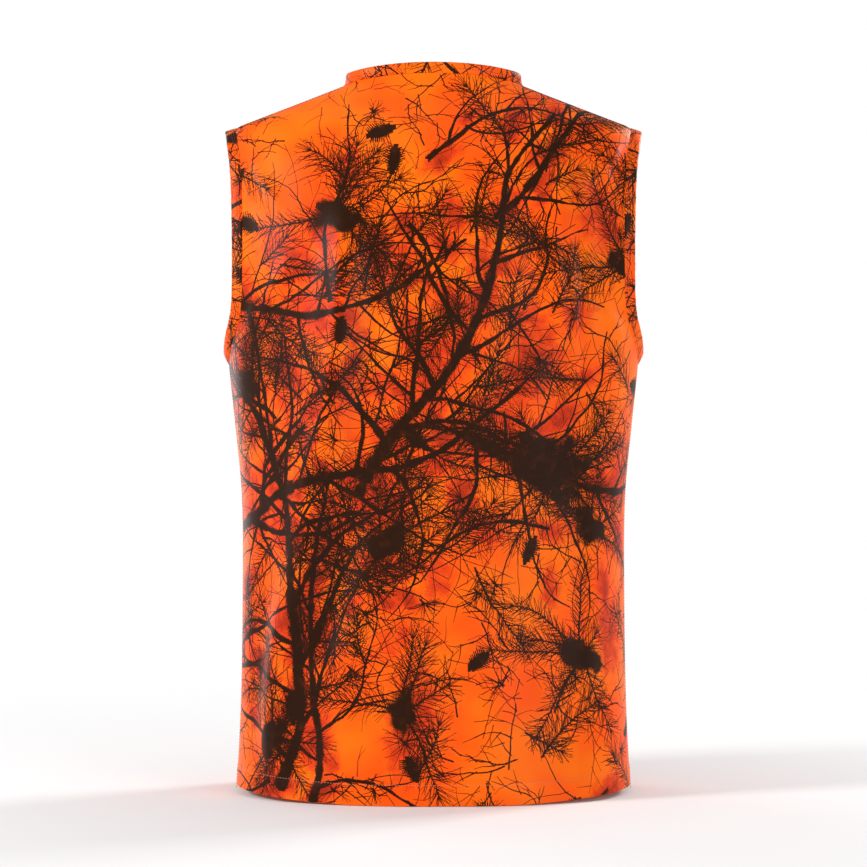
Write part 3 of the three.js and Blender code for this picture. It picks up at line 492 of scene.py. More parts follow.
@dataclass
class WoodlandPlan:
    """Bare limbs, needled sprigs and cones, drawn for one stretch of cloth.

    Attributes:
        seed: Fixes the drawing.
        low: The stretch's lower corner, across and up, in millimetres.
        high: Its upper corner.
        limbs: Main limbs: start, heading in degrees, length and radius.
        masses: Dark masses: place and size.
        crowding: How thickly the stretch is filled, 1 on the back.
    """

    seed: int
    low: tuple[float, float]
    high: tuple[float, float]
    limbs: tuple[tuple[float, float, float, float, float], ...] = ()
    masses: tuple[tuple[float, float, float], ...] = ()
    crowding: float = 1.0
    ink: Strokes = field(default_factory=Strokes)
    rust: Strokes = field(default_factory=Strokes)
    blots: list[tuple[float, float, float, float, float, float]] = field(default_factory=list)

    def __post_init__(self) -> None:
        """Draws the stretch."""
        self.rng = np.random.default_rng(self.seed)
        size = (self.high[0] - self.low[0]) * (self.high[1] - self.low[1])
        share = self.crowding * size / (640 * 700)
        for x, z, heading, length, radius in self.limbs:
            self.limb(np.array([x, z]), math.radians(heading), length, radius, 0)
        for x, z, size in self.masses:
            self.mass(x, z, size)
        for _ in range(int(17 * share)):
            self.limb(self.spot(), self.heading(), 200, self.rng.uniform(1.6, 3.2), 1)
        for _ in range(int(34 * share)):
            self.sprig(self.spot(), self.heading())
        for _ in range(int(58 * share)):
            self.tuft(self.spot())
        for _ in range(int(150 * share)):
            self.twig(self.ink, self.spot(), self.heading(), 60, 0.8, 2)
        for _ in range(int(250 * share)):
            self.twig(self.rust, self.spot(), self.heading(), 38, 0.55, 1)
        for _ in range(int(18 * share)):
            self.cone(self.spot(), self.heading())

    def heading(self) -> float:
        """Returns a random direction."""
        return self.rng.uniform(0, 2 * np.pi)

    def spot(self) -> Array:
        """Returns a random place on the stretch."""
        return self.rng.uniform(self.low, self.high)

    def path(self, start: Array, heading: float, length: float, step: float, wander: float) -> Array:
        """Returns a wandering path.

        Args:
            start: Where it starts.
            heading: Which way it sets off, in radians.
            length: How long it is.
            step: The distance between its points.
            wander: How much each step may turn, in radians.
        """
        steps = max(2, int(length / step))
        turn = self.rng.normal(0, wander, steps) + self.rng.normal(0, wander * 0.14)
        angle = heading + np.cumsum(turn)
        moves = np.stack((np.cos(angle), np.sin(angle)), axis=-1) * (length / steps)
        return np.concatenate((start[None], start + np.cumsum(moves, axis=0)))

    def limb(self, start: Array, heading: float, length: float, radius: float, depth: int) -> None:
        """Draws a limb with side branches, thinner at each depth."""
        points = self.path(start, heading, length, 7.0, 0.075 if depth == 0 else 0.12)
        taper = np.linspace(1.0, 0.34 if depth == 0 else 0.28, len(points))
        knots = 1 + 0.2 * self.rng.normal(0, 1, len(points)) * (radius > 1.3)
        self.ink.add(points, np.maximum(radius * taper * np.clip(knots, 0.6, 1.5), 0.3))
        for point in points[:: 4 if depth == 0 else 9]:
            if radius > 1.8 and self.rng.random() < 0.75:
                x, z = point + self.rng.normal(0, 8, 2)
                long, strength = self.rng.uniform(18, 40), -self.rng.uniform(0.4, 0.68)
                self.blots.append((x, z, long, long * 0.55, math.degrees(heading), strength))
        if depth >= 4:
            return
        side = 1.0 if self.rng.random() < 0.5 else -1.0
        k = int(self.rng.integers(2, 5))
        gap = {0: 3, 1: 5, 2: 5, 3: 6}[depth]
        while k < len(points) - 1:
            here = points[k + 1] - points[k]
            angle = math.atan2(here[1], here[0]) + side * self.rng.uniform(0.45, 1.15)
            left = length * (1 - k / len(points))
            reach = min(left * self.rng.uniform(0.5, 0.95), 150.0) + 12
            thin = max(radius * taper[k] * self.rng.uniform(0.34, 0.7), 0.36)
            self.limb(points[k], angle, reach, thin, depth + (2 if thin < 0.7 else 1))
            if thin < 1.2 and self.rng.random() < 0.09:
                self.sprig(points[k], angle)
            side = -side
            k += int(self.rng.integers(gap - 1, gap + 3))

    def needle(self, base: Array, angle: float, length: float, radius: float) -> None:
        """Draws one slightly bent needle."""
        bend = self.rng.normal(0, 0.16)
        angles = angle + np.array([0.0, bend, 2 * bend])
        moves = np.stack((np.cos(angles), np.sin(angles)), axis=-1) * (length / 3)
        points = np.concatenate((base[None], base + np.cumsum(moves, axis=0)))
        self.ink.add(points, radius * np.array([1.0, 0.95, 0.75, 0.35]))

    def sprig(self, start: Array, heading: float) -> None:
        """Draws a stem with needles along both sides."""
        length = self.rng.uniform(34, 84)
        points = self.path(start, heading, length, 4.0, 0.07)
        self.ink.add(points, np.linspace(1.0, 0.45, len(points)))
        reach = self.rng.uniform(15, 25)
        for k in range(1, len(points)):
            here = points[k] - points[k - 1]
            angle = math.atan2(here[1], here[0])
            for side in (-1, 1):
                for _ in range(2):
                    lean = side * self.rng.uniform(0.5, 1.0)
                    long = reach * self.rng.uniform(0.7, 1.1)
                    base = points[k - 1] + here * self.rng.random()
                    self.needle(base, angle + lean, long, 0.34)
        for lean in np.linspace(-0.5, 0.5, 7):
            self.needle(points[-1], angle + lean, reach * 0.8, 0.34)

    def tuft(self, centre: Array) -> None:
        """Draws needles that spread from one bud."""
        heading, spread = self.heading(), self.rng.uniform(1.0, 3.0)
        reach = self.rng.uniform(12, 22)
        for _ in range(int(self.rng.integers(14, 26))):
            angle = heading + self.rng.uniform(-spread, spread)
            self.needle(centre, angle, reach * self.rng.uniform(0.65, 1.1), 0.36)
        self.ink.add(np.stack((centre, centre + 2.0)), np.array([1.5, 0.8]))

    def twig(
        self, strokes: Strokes, start: Array, heading: float, length: float, radius: float, forks: int
    ) -> None:
        """Draws a thin forking twig in one colour."""
        long = length * self.rng.uniform(0.5, 1.3)
        points = self.path(start, heading, long, 5.0, 0.22)
        strokes.add(points, radius * np.linspace(1.0, 0.45, len(points)))
        if forks == 0:
            return
        for k in range(2, len(points) - 1, 3):
            side = self.rng.choice([-1, 1]) * self.rng.uniform(0.4, 1.0)
            self.twig(strokes, points[k], heading + side, length * 0.5, radius * 0.8, forks - 1)

    def mass(self, x: float, z: float, size: float) -> None:
        """Gathers needled sprigs and a dark blot at one place."""
        self.blots.append((x, z, size, size * 0.6, self.rng.uniform(0, 180), 1.15))
        for _ in range(int(size / 5)):
            heading = self.heading()
            away = np.array([math.cos(heading), math.sin(heading)]) * size * 0.35
            self.sprig(np.array([x, z]) + away, heading)

    def cone(self, centre: Array, heading: float) -> None:
        """Draws a ragged cone as a bundle of short broad scales."""
        length, width = self.rng.uniform(17, 25), self.rng.uniform(5.0, 7.5)
        axis = np.array([math.cos(heading), math.sin(heading)])
        cross = np.array([-axis[1], axis[0]])
        body = centre + axis * np.linspace(-0.5, 0.5, 6)[:, None] * length
        self.ink.add(body, width * np.array([0.45, 0.85, 1.0, 0.95, 0.75, 0.4]))
        for share in np.linspace(-0.45, 0.45, 9):
            for side in (-1, 1):
                root = centre + axis * share * length
                tip = root + (side * cross * 1.25 + axis * 0.5) * width * (1.15 - abs(share))
                self.ink.add(np.stack((root, tip)), np.array([1.6, 0.5]))

    def blot_field(self, plan: Array, reds: bool) -> Array:
        """Returns how deep in a blot each place of the plan is.

        Args:
            plan: Places across and up.
            reds: Whether to read the red smudges, not the dark blots.
        """
        depth = np.zeros(plan.shape[:-1])
        for x, z, long, wide, turn, strength in self.blots:
            if (strength < 0) != reds:
                continue
            c, s = math.cos(math.radians(turn)), math.sin(math.radians(turn))
            dx, dz = plan[..., 0] - x, plan[..., 1] - z
            reach = ((dx * c + dz * s) / long) ** 2 + ((-dx * s + dz * c) / wide) ** 2
            depth = np.maximum(depth, abs(strength) * np.exp(-reach))
        return depth


BIN = 24.0
FAR = 9.0


def near_pairs(centre: Array, half: Array, strokes: Strokes) -> tuple[Array, Array, Array]:
    """Finds which strokes' segments come near which quads.

    Args:
        centre: The quads' middles on the plan.
        half: The quads' half sizes.
        strokes: The strokes.

    Returns:
        The pairs' quads, segments and gaps, for each gap under the quad's half size.
    """
    p0, p1, radius, _ = strokes.arrays()
    run = p1 - p0
    long2 = np.maximum((run**2).sum(axis=1), 1e-6)
    reach = (radius.max(axis=1) + half.max())[:, None]
    origin = np.minimum(centre.min(axis=0), (np.minimum(p0, p1) - reach).min(axis=0)) - 1
    low = ((np.minimum(p0, p1) - reach - origin) // BIN).astype(int)
    high = ((np.maximum(p0, p1) + reach - origin) // BIN).astype(int)
    cell_bin = ((centre - origin) // BIN).astype(int)
    wide = int(max(cell_bin[:, 0].max(), high[:, 0].max())) + 2
    cell_key = cell_bin[:, 1] * wide + cell_bin[:, 0]
    span = high - low
    keys, numbers = [], []
    for dx in range(span[:, 0].max() + 1):
        for dz in range(span[:, 1].max() + 1):
            which = np.nonzero((span[:, 0] >= dx) & (span[:, 1] >= dz))[0]
            keys.append((low[which, 1] + dz) * wide + low[which, 0] + dx)
            numbers.append(which)
    keys, numbers = np.concatenate(keys), np.concatenate(numbers)
    order = np.argsort(keys, kind="stable")
    keys, numbers = keys[order], numbers[order]
    cells = np.argsort(cell_key, kind="stable")
    sorted_keys = cell_key[cells]
    starts = np.concatenate(([0], np.nonzero(np.diff(sorted_keys))[0] + 1, [len(cells)]))
    found = []
    for first, last in zip(starts[:-1], starts[1:]):
        key = sorted_keys[first]
        a, b = np.searchsorted(keys, key), np.searchsorted(keys, key, side="right")
        cell, seg = cells[first:last], numbers[a:b]
        away = centre[cell][:, None] - p0[seg][None]
        t = np.clip((away * run[seg]).sum(axis=2) / long2[seg], 0, 1)
        near = away - run[seg] * t[..., None]
        gap = np.sqrt((near**2).sum(axis=2)) - mix(radius[seg, 0], radius[seg, 1], t)
        i, j = np.nonzero(gap < half[cell][:, None])
        found.append((cell[i], seg[j], gap[i, j]))
    return tuple(np.concatenate(x) for x in zip(*found))


def ink_corners(corners: Array, strokes: Strokes, slots: int) -> Array:
    """Writes strokes into quads as offsets from each stroke's middle, in stroke radii.

    Args:
        corners: The quads' corners on the plan, faces by 4 by 2.
        strokes: The strokes.
        slots: How many strokes a quad can hold.

    Returns:
        Faces by 4 by slots; within a stroke the value is between -1 and 1.
    """
    out = np.full((len(corners), 4, slots), FAR, dtype=np.float32)
    p0, p1, radius, owner = strokes.arrays()
    centre = corners.mean(axis=1)
    half = np.sqrt(((corners - centre[:, None]) ** 2).sum(axis=2)).max(axis=1)
    cell, seg, gap = near_pairs(centre, half, strokes)
    order = np.lexsort((gap, owner[seg], cell))
    cell, seg, gap = cell[order], seg[order], gap[order]
    fresh = np.ones(len(cell), dtype=bool)
    fresh[1:] = (cell[1:] != cell[:-1]) | (owner[seg[1:]] != owner[seg[:-1]])
    cell, seg, gap = cell[fresh], seg[fresh], gap[fresh]
    order = np.lexsort((gap, cell))
    cell, seg = cell[order], seg[order]
    rank = np.arange(len(cell)) - np.searchsorted(cell, cell)
    kept = rank < slots
    cell, seg, rank = cell[kept], seg[kept], rank[kept]
    run = p1[seg] - p0[seg]
    long2 = np.maximum((run**2).sum(axis=1), 1e-6)
    c = corners[cell] - p0[seg][:, None]
    across = (run[:, None, 0] * c[..., 1] - run[:, None, 1] * c[..., 0]) / np.sqrt(long2)[:, None]
    t = np.clip((c * run[:, None]).sum(axis=2) / long2[:, None], 0, 1)
    here = np.maximum(mix(radius[seg, 0][:, None], radius[seg, 1][:, None], t), 0.2)
    out[cell, :, rank] = np.clip(across / here, -FAR, FAR)
    return out


INK_SLOTS = 12
RUST_SLOTS = 4


def print_on(
    obj: bpy.types.Object, flat: Array, index: Array, woodland: WoodlandPlan, both_faces: bool
) -> None:
    """Prints a piece: the strokes by quad, the blots by vertex, and the plan as its UV map.

    Args:
        obj: The piece.
        flat: Each vertex's place on the cloth in millimetres.
        index: The printed quads' corners, quads by 4.
        woodland: The drawing.
        both_faces: Whether the whole piece shows print, not only those quads.
    """
    mesh = obj.data
    vertex = corner_vertices(mesh)
    places = flat[vertex[index]]
    for name, strokes, slots in (("ink", woodland.ink, INK_SLOTS), ("rust", woodland.rust, RUST_SLOTS)):
        values = ink_corners(places, strokes, slots)
        for k in range(slots // 4):
            block = np.full((len(vertex), 4), FAR, dtype=np.float32)
            block[index] = values[..., 4 * k : 4 * k + 4]
            attribute = mesh.attributes.new(f"{name}_{k}", "FLOAT_COLOR", "CORNER")
            attribute.data.foreach_set("color", block.ravel())
    for name in ("blot", "smudge"):
        depth = woodland.blot_field(flat, name == "smudge").astype(np.float32)
        mesh.attributes.new(name, "FLOAT", "POINT").data.foreach_set("value", depth)
    shown = np.full(len(vertex), float(both_faces), dtype=np.float32)
    shown[index] = 1.0
    mesh.attributes.new("printed", "FLOAT", "CORNER").data.foreach_set("value", shown)
    layer = mesh.uv_layers.new(name="plan")
    layer.data.foreach_set("uv", (flat[vertex] / 100.0).astype(np.float32).ravel())


def print_outside(obj: bpy.types.Object, plan: Array, woodland: WoodlandPlan) -> None:
    """Prints the outer skin of a two-skinned sheet, whose faces start with that skin's grid.

    Args:
        obj: The piece.
        plan: The skin's places on the cloth, columns by rows by 2.
        woodland: The drawing.
    """
    columns, rows = plan.shape[:2]
    index = np.arange(4 * (columns - 1) * (rows - 1)).reshape(-1, 4)
    print_on(obj, np.concatenate((plan, plan)).reshape(-1, 2), index, woodland, False)


def cosines(count: int) -> tuple[Array, Array]:
    """Returns the cosine waves on a row of points, and how stiff a chain is against each."""
    k = np.arange(count)
    waves = np.cos(np.pi * k[:, None] * (k + 0.5) / count) * math.sqrt(2 / count)
    waves[0] *= math.sqrt(0.5)
    return waves, 2 - 2 * np.cos(np.pi * k / count)


def cloth_axes(points: Array) -> tuple[Array, Array]:
    """Returns the directions across and up the cloth at each point of a draped grid."""
    row, column = np.gradient(points, axis=0), np.gradient(points, axis=1)
    normal = unit(np.cross(row, column))
    level = unit(np.cross((0.0, 0.0, 1.0), normal) + 1e-9)
    level = level * np.sign((level * row).sum(axis=-1, keepdims=True))
    side = np.array((np.sign(points[-1, 0, 0] - points[0, 0, 0]), 0.0, 0.0))
    over = unit(side - normal * (normal @ side)[..., None] + 1e-9)
    across = unit(mix(level, over, smooth(np.abs(normal[..., 2:]), 0.15, 0.45)))
    return across, unit(np.cross(normal, across))


def plan_of(points: Array, middle: int = 0) -> Array:
    """Returns a draped grid's places on its flat cloth, laid out with the least stretch.

    Args:
        points: Columns by rows of points in metres.
        middle: The column whose lowest point lies at 0 across.
    """
    flat = points / MM
    axes = cloth_axes(flat)
    pull = np.zeros((*flat.shape[:2], 2))
    for direction in (0, 1):
        edge = np.diff(flat, axis=direction)
        for k, axis in enumerate(axes):
            half = np.take(axis, range(1, axis.shape[direction]), direction)
            half = (half + np.take(axis, range(axis.shape[direction] - 1), direction)) / 2
            ends = [(0, 0), (0, 0)]
            ends[direction] = (1, 1)
            pull[..., k] -= np.diff(np.pad((edge * half).sum(axis=-1), ends), axis=direction)
    (wave_x, stiff_x), (wave_z, stiff_z) = cosines(flat.shape[0]), cosines(flat.shape[1])
    stiff = stiff_x[:, None] + stiff_z
    stiff[0, 0] = 1.0
    plan = np.stack([wave_x.T @ (wave_x @ pull[..., k] @ wave_z.T / stiff) @ wave_z for k in (0, 1)], -1)
    return plan - plan[middle, 0] + (0.0, flat[middle, 0, 2])


# ---- Finishes ----


def linear(red: float, green: float, blue: float) -> tuple[float, float, float, float]:
    """Returns a display colour, each channel from 0 to 255, as linear light."""

    def channel(value: float) -> float:
        """Returns one channel as linear light."""
        value /= 255
        return value / 12.92 if value <= 0.04045 else ((value + 0.055) / 1.055) ** 2.4

    return channel(red), channel(green), channel(blue), 1.0


class NodeSheet:
    """Adds and joins shader nodes in a tree."""

    def __init__(self, tree: bpy.types.NodeTree) -> None:
        """Takes the tree to work in."""
        self.tree = tree

    def add(self, kind: str, **settings: object) -> bpy.types.Node:
        """Adds a node and sets its settings."""
        node = self.tree.nodes.new(kind)
        for key, value in settings.items():
            setattr(node, key, value)
        return node

    def feed(self, socket: bpy.types.NodeSocket, value: object) -> None:
        """Gives a socket a link or a value."""
        if isinstance(value, bpy.types.NodeSocket):
            self.tree.links.new(value, socket)
        else:
            socket.default_value = value

    def math(self, operation: str, *values: object) -> bpy.types.NodeSocket:
        """Returns a sum of values or sockets by the named operation."""
        node = self.add("ShaderNodeMath", operation=operation)
        for socket, value in zip(node.inputs, values):
            self.feed(socket, value)
        return node.outputs[0]

    def ramp(self, value: object, low: float, high: float) -> bpy.types.NodeSocket:
        """Returns a smooth step of a value from low to high."""
        node = self.add("ShaderNodeMapRange", interpolation_type="SMOOTHSTEP")
        return self.fill(node, Value=value, From_Min=low, From_Max=high).outputs[0]

    def blend(self, factor: object, first: object, second: object) -> bpy.types.NodeSocket:
        """Returns a mix of two colours."""
        node = self.add("ShaderNodeMix", data_type="RGBA")
        self.feed(node.inputs[0], factor)
        self.feed(node.inputs[6], first)
        self.feed(node.inputs[7], second)
        return node.outputs[2]

    def noise(self, place: object, scale: float, detail: float = 2.0) -> bpy.types.NodeSocket:
        """Returns noise at places, features one unit over the scale wide."""
        node = self.add("ShaderNodeTexNoise")
        return self.fill(node, Vector=place, Scale=scale, Detail=detail).outputs["Fac"]

    def attribute(self, name: str) -> bpy.types.NodeSocket:
        """Returns a mesh attribute's value."""
        return self.add("ShaderNodeAttribute", attribute_name=name).outputs["Fac"]

    def fill(self, node: bpy.types.Node, **values: object) -> bpy.types.Node:
        """Gives a node's sockets values or links, a socket's name written with underscores."""
        for name, value in values.items():
            self.feed(node.inputs[name.replace("_", " ")], value)
        return node

    def bump(self, height: bpy.types.NodeSocket, strength: float, distance: float) -> bpy.types.NodeSocket:
        """Returns normals raised by a height."""
        node = self.add("ShaderNodeBump")
        return self.fill(node, Height=height, Strength=strength, Distance=distance).outputs[0]

    def nearest(self, name: str, count: int) -> bpy.types.NodeSocket:
        """Returns how far the nearest of the stored strokes is, in stroke radii."""
        best: bpy.types.NodeSocket | None = None
        for k in range(count // 4):
            source = self.add("ShaderNodeAttribute", attribute_name=f"{name}_{k}")
            parts = self.add("ShaderNodeSeparateColor")
            self.feed(parts.inputs[0], source.outputs["Color"])
            for value in (*parts.outputs, source.outputs["Alpha"]):
                size = self.math("ABSOLUTE", value)
                best = size if best is None else self.math("MINIMUM", best, size)
        return best


def new_material(name: str) -> tuple[bpy.types.Material, NodeSheet, bpy.types.Node]:
    """Returns a new material with its node sheet and its Principled node."""
    material = bpy.data.materials.new(name)
    material.use_nodes = True
    return material, NodeSheet(material.node_tree), material.node_tree.nodes["Principled BSDF"]


Colour = tuple[float, float, float]


@dataclass(frozen=True)
class PrintedCloth:
    """Brushed knit, printed on its face and plain on its back."""

    name: str = "printed knit"
    bright: Colour = (255, 112, 8)
    deep: Colour = (253, 86, 6)
    reverse: Colour = (248, 140, 70)
    ink: Colour = (42, 18, 3)
    faded_ink: Colour = (66, 27, 5)
    rust: Colour = (146, 36, 12)
    smudge: Colour = (218, 50, 18)
    roughness: float = 0.42
    specular: float = 0.1

    def make(self) -> bpy.types.Material:
        """Returns the material."""
        material, sheet, shader = new_material(self.name)
        plan = sheet.add("ShaderNodeUVMap", uv_map="plan").outputs[0]
        edge = sheet.noise(plan, 95.0, 3.0)
        fine = sheet.noise(plan, 150.0)
        broad = sheet.noise(plan, 1.3)
        patch = sheet.noise(plan, 9.0, 3.0)
        clump = sheet.noise(plan, 5.0, 5.0)
        face = sheet.attribute("printed")

        ground = sheet.blend(sheet.ramp(broad, 0.35, 0.65), linear(*self.deep), linear(*self.bright))
        stipple = sheet.math("MULTIPLY_ADD", fine, 1.1, sheet.attribute("smudge"))
        stipple = sheet.math("MULTIPLY_ADD", patch, 0.6, stipple)
        red = sheet.math("MULTIPLY", sheet.ramp(stipple, 1.12, 1.24), 0.85)
        ground = sheet.blend(red, ground, linear(*self.smudge))
        deeper = sheet.math("MULTIPLY", sheet.ramp(stipple, 1.36, 1.46), 0.85)
        ground = sheet.blend(deeper, ground, linear(*self.rust))

        rough = sheet.math("MULTIPLY", sheet.math("SUBTRACT", edge, 0.5), 1.5)
        thin = sheet.math("ADD", sheet.nearest("rust", RUST_SLOTS), rough)
        ground = sheet.blend(sheet.ramp(thin, 1.25, 0.8), ground, linear(*self.rust))
        near = sheet.math("ADD", sheet.nearest("ink", INK_SLOTS), rough)
        strokes = sheet.ramp(near, 1.22, 0.86)
        furry = sheet.math("MULTIPLY_ADD", fine, 0.8, sheet.attribute("blot"))
        furry = sheet.math("MULTIPLY_ADD", clump, 1.5, furry)
        inked = sheet.math("MAXIMUM", strokes, sheet.ramp(furry, 1.72, 1.86))
        dark = sheet.blend(sheet.ramp(patch, 0.5, 0.8), linear(*self.ink), linear(*self.faded_ink))
        shown = sheet.blend(inked, ground, dark)
        colour = sheet.blend(face, linear(*self.reverse), shown)
        normal = sheet.bump(sheet.math("MULTIPLY_ADD", fine, 0.7, patch), 0.25, 0.0004)
        sheet.fill(shader, Base_Color=colour, Roughness=self.roughness, Normal=normal)
        sheet.fill(shader, Specular_IOR_Level=self.specular)
        return material


@dataclass(frozen=True)
class WovenCloth:
    """Plain cloth, tape or thread in one colour with a fine grain."""

    name: str
    colour: Colour
    roughness: float = 0.8
    sheen: float = 0.2
    specular: float = 0.25
    grain: float = 1200.0
    mottle: float = 0.12

    def make(self) -> bpy.types.Material:
        """Returns the material."""
        material, sheet, shader = new_material(self.name)
        place = sheet.add("ShaderNodeTexCoord").outputs["Object"]
        grain = sheet.noise(place, self.grain)
        shade = linear(*(channel * (1 - self.mottle) for channel in self.colour))
        colour = sheet.blend(sheet.ramp(grain, 0.3, 0.7), shade, linear(*self.colour))
        normal = sheet.bump(grain, 0.3, 0.0003)
        sheet.fill(shader, Base_Color=colour, Roughness=self.roughness, Normal=normal)
        sheet.fill(shader, Sheen_Weight=self.sheen, Specular_IOR_Level=self.specular)
        return material


@dataclass(frozen=True)
class HardFinish:
    """Moulded resin or coated metal."""

    name: str
    colour: Colour
    roughness: float
    metallic: float = 0.0

    def make(self) -> bpy.types.Material:
        """Returns the material."""
        material, sheet, shader = new_material(self.name)
        place = sheet.add("ShaderNodeTexCoord").outputs["Object"]
        wear = sheet.noise(place, 700.0, 3.0)
        node = sheet.add("ShaderNodeMapRange")
        low, high = self.roughness - 0.08, self.roughness + 0.1
        rough = sheet.fill(node, Value=wear, To_Min=low, To_Max=high).outputs[0]
        sheet.fill(shader, Base_Color=linear(*self.colour), Metallic=self.metallic, Roughness=rough)
        return material


class Finishes:
    """Every finish on the vest, made once and kept by its slot."""

    def __init__(self) -> None:
        """Makes the materials."""
        self.by_slot = {
            "printed_cloth": PrintedCloth().make(),
            "plain_cloth": WovenCloth("plain knit", (246, 132, 60)).make(),
            "stay_tape": WovenCloth("stay tape", (232, 224, 210)).make(),
            "zip_tape": WovenCloth("zip tape", (58, 40, 26), grain=1600.0).make(),
            "label_cloth": WovenCloth("label satin", (236, 233, 225), roughness=0.5).make(),
            "moulded_plastic": HardFinish("moulded resin", (44, 32, 24), 0.42).make(),
            "black_metal": HardFinish("dark enamel", (40, 36, 33), 0.36, 0.85).make(),
        }
        self.thread = WovenCloth("brown thread", (96, 44, 18), mottle=0.25).make()
        self.pale_thread = WovenCloth("pale thread", (236, 150, 110), mottle=0.2).make()

    def paint(self, obj: bpy.types.Object, slot: str) -> None:
        """Gives a piece the finish of a slot."""
        obj.data.materials.clear()
        obj.data.materials.append(self.by_slot[slot])

    def dress(self, obj: bpy.types.Object, slot: str) -> None:
        """Gives a piece the finish of a slot, as paint does."""
        self.paint(obj, slot)


# ---- Baking, measuring and attaching pieces ----


def follow(obj: bpy.types.Object) -> None:
    """Bakes a front piece's world placement into its mesh."""
    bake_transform(obj)


def declare_sheet(
    points: Array
) -> None:
    """Measures the flat run and rise of a sheet's grid of points; the results are not kept."""
    run = np.linalg.norm(np.diff(points, axis=0), axis=-1).sum(axis=0).max()
    rise = np.linalg.norm(np.diff(points, axis=1), axis=-1).sum(axis=1).max()
    run, rise = max(float(run), 0.0102), max(float(rise), 0.0102)


def seat(obj: bpy.types.Object, outer: Array, node: str, body: str) -> None:
    """Measures a sheet by its outer skin, hides the node it stands for and attaches it to the body it rides.
    """
    declare_sheet(outer)
    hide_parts(node)
    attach(obj, body)


# ---- Panels ----


@dataclass
class Panel:
    """One large cut of cloth, hung on the body.

    Attributes:
        name: The piece's name.
        side: The back or the front.
        hand: The front's hand, or None for the back.
        columns: How many points it has across.
        rows: How many it has up.
        woodland: Its print.
    """

    name: str
    side: Side
    hand: Hand | None
    columns: int
    rows: int
    woodland: WoodlandPlan
    fabric: float = 1.2

    def shares(self) -> tuple[Array, Array]:
        """Returns the shares of its width and height at its points."""
        s = np.linspace(-1.0 if self.hand is None else 0.0, 1.0, self.columns)
        hem = np.linspace(0.0, 0.034, 14)
        t = np.concatenate((hem, np.linspace(0.034, 1.0, self.rows - 13)[1:]))
        return np.meshgrid(s, t, indexing="ij")

    def skin(self, offset: float) -> Array:
        """Returns its points at an offset from the body's outer face, in metres."""
        x, z = FORM.place(self.side, *self.shares())
        if self.hand is not None:
            x = x * self.hand.value
        return FORM.point(self.side, x, z, offset)

    def build(self, finishes: Finishes) -> bpy.types.Object:
        """Makes the cloth and prints it."""
        outer = self.skin(0.0)
        obj = shell_object(self.name, outer, self.skin(-self.fabric))
        middle = self.columns // 2 if self.hand is None else 0
        print_outside(obj, plan_of(outer, middle), self.woodland)
        finishes.dress(obj, "printed_cloth")
        declare_sheet(outer)
        return obj


def edge_path(side: Side, hand: Hand, low: float, high: float, steps: int) -> tuple[Array, Array]:
    """Returns the middle of a panel's outer edge between two heights, and its normals."""
    z = np.linspace(low, high, steps)
    x = np.minimum(FORM.edge_half_width(side, z), FORM.half_width(z)) * hand.value
    return FORM.point(side, x, z, -0.6), FORM.normal_of(side, x, z)


def distances(points: Array) -> Array:
    """Returns how far along a path each of its points is."""
    return np.append(0.0, np.cumsum(np.linalg.norm(np.diff(points, axis=0), axis=1)))


def resample(points: Array, normals: Array, count: int, closed: bool) -> tuple[Array, Array]:
    """Returns a path's points and normals at even steps along it, corners a little softened."""
    if closed:
        points = np.concatenate((points, points[:1]))
        normals = np.concatenate((normals, normals[:1]))
    at = distances(points)
    want = np.linspace(0.0, at[-1], count, endpoint=not closed)
    even, turned = (
        np.stack([np.interp(want, at, column) for column in rows.T], axis=-1) for rows in (points, normals)
    )
    return even, unit(turned)


def soften(values: Array, passes: int, closed: bool) -> Array:
    """Returns values along a path, each a few times averaged with its neighbours."""
    for _ in range(passes):
        if closed:
            values = (np.roll(values, 1, axis=0) + 2 * values + np.roll(values, -1, axis=0)) / 4
        else:
            inner = (values[:-2] + 2 * values[1:-1] + values[2:]) / 4
            values = np.concatenate((values[:1], inner, values[-1:]))
    return values


@dataclass
class EdgePath:
    """A path along a bound edge with the binding's two directions at each point."""

    points: Array
    along: Array
    out: Array

    @classmethod
    def make(cls, points: Array, normals: Array, closed: bool, flare: float) -> EdgePath:
        """Makes the path.

        Args:
            points: The middle of the cloth's edge.
            normals: The body's outward normals there.
            closed: Whether the path is a ring.
            flare: How much the binding leans off the body.
        """
        tangent = tangents(points, closed)
        in_surface = unit(np.cross(normals, tangent))
        along = unit(in_surface + flare * normals)
        out = unit(np.cross(tangent, along))
        return cls(points, along, out)

    def part(self, first: int, last: int) -> EdgePath:
        """Returns the path from one point to another."""
        cut = slice(first, last + 1)
        return EdgePath(self.points[cut], self.along[cut], self.out[cut])

    def offset(self, along: float, out: float) -> Array:
        """Returns the points moved by millimetres along and out."""
        return self.points + self.along * along * MM + self.out * out * MM


def armhole_path(hand: Hand) -> EdgePath:
    """Returns the ring round an armhole: up the back from the underarm, and down the front."""
    low, high = FORM.underarm, FORM.shoulder_end
    back, back_normals = edge_path(BACK, hand, low, high, 90)
    front, front_normals = edge_path(FRONT, hand, low, high, 90)
    points = np.concatenate((back, front[::-1][1:-1]))
    normals = np.concatenate((back_normals, front_normals[::-1][1:-1]))
    points, normals = resample(points, normals, 360, True)
    points, normals = soften(points, 6, True), unit(soften(normals, 14, True))
    if hand is Hand.RIGHT:
        points, normals = points[::-1], normals[::-1]
    return EdgePath.make(points, normals, True, 0.45)


NECK_STEPS = 110


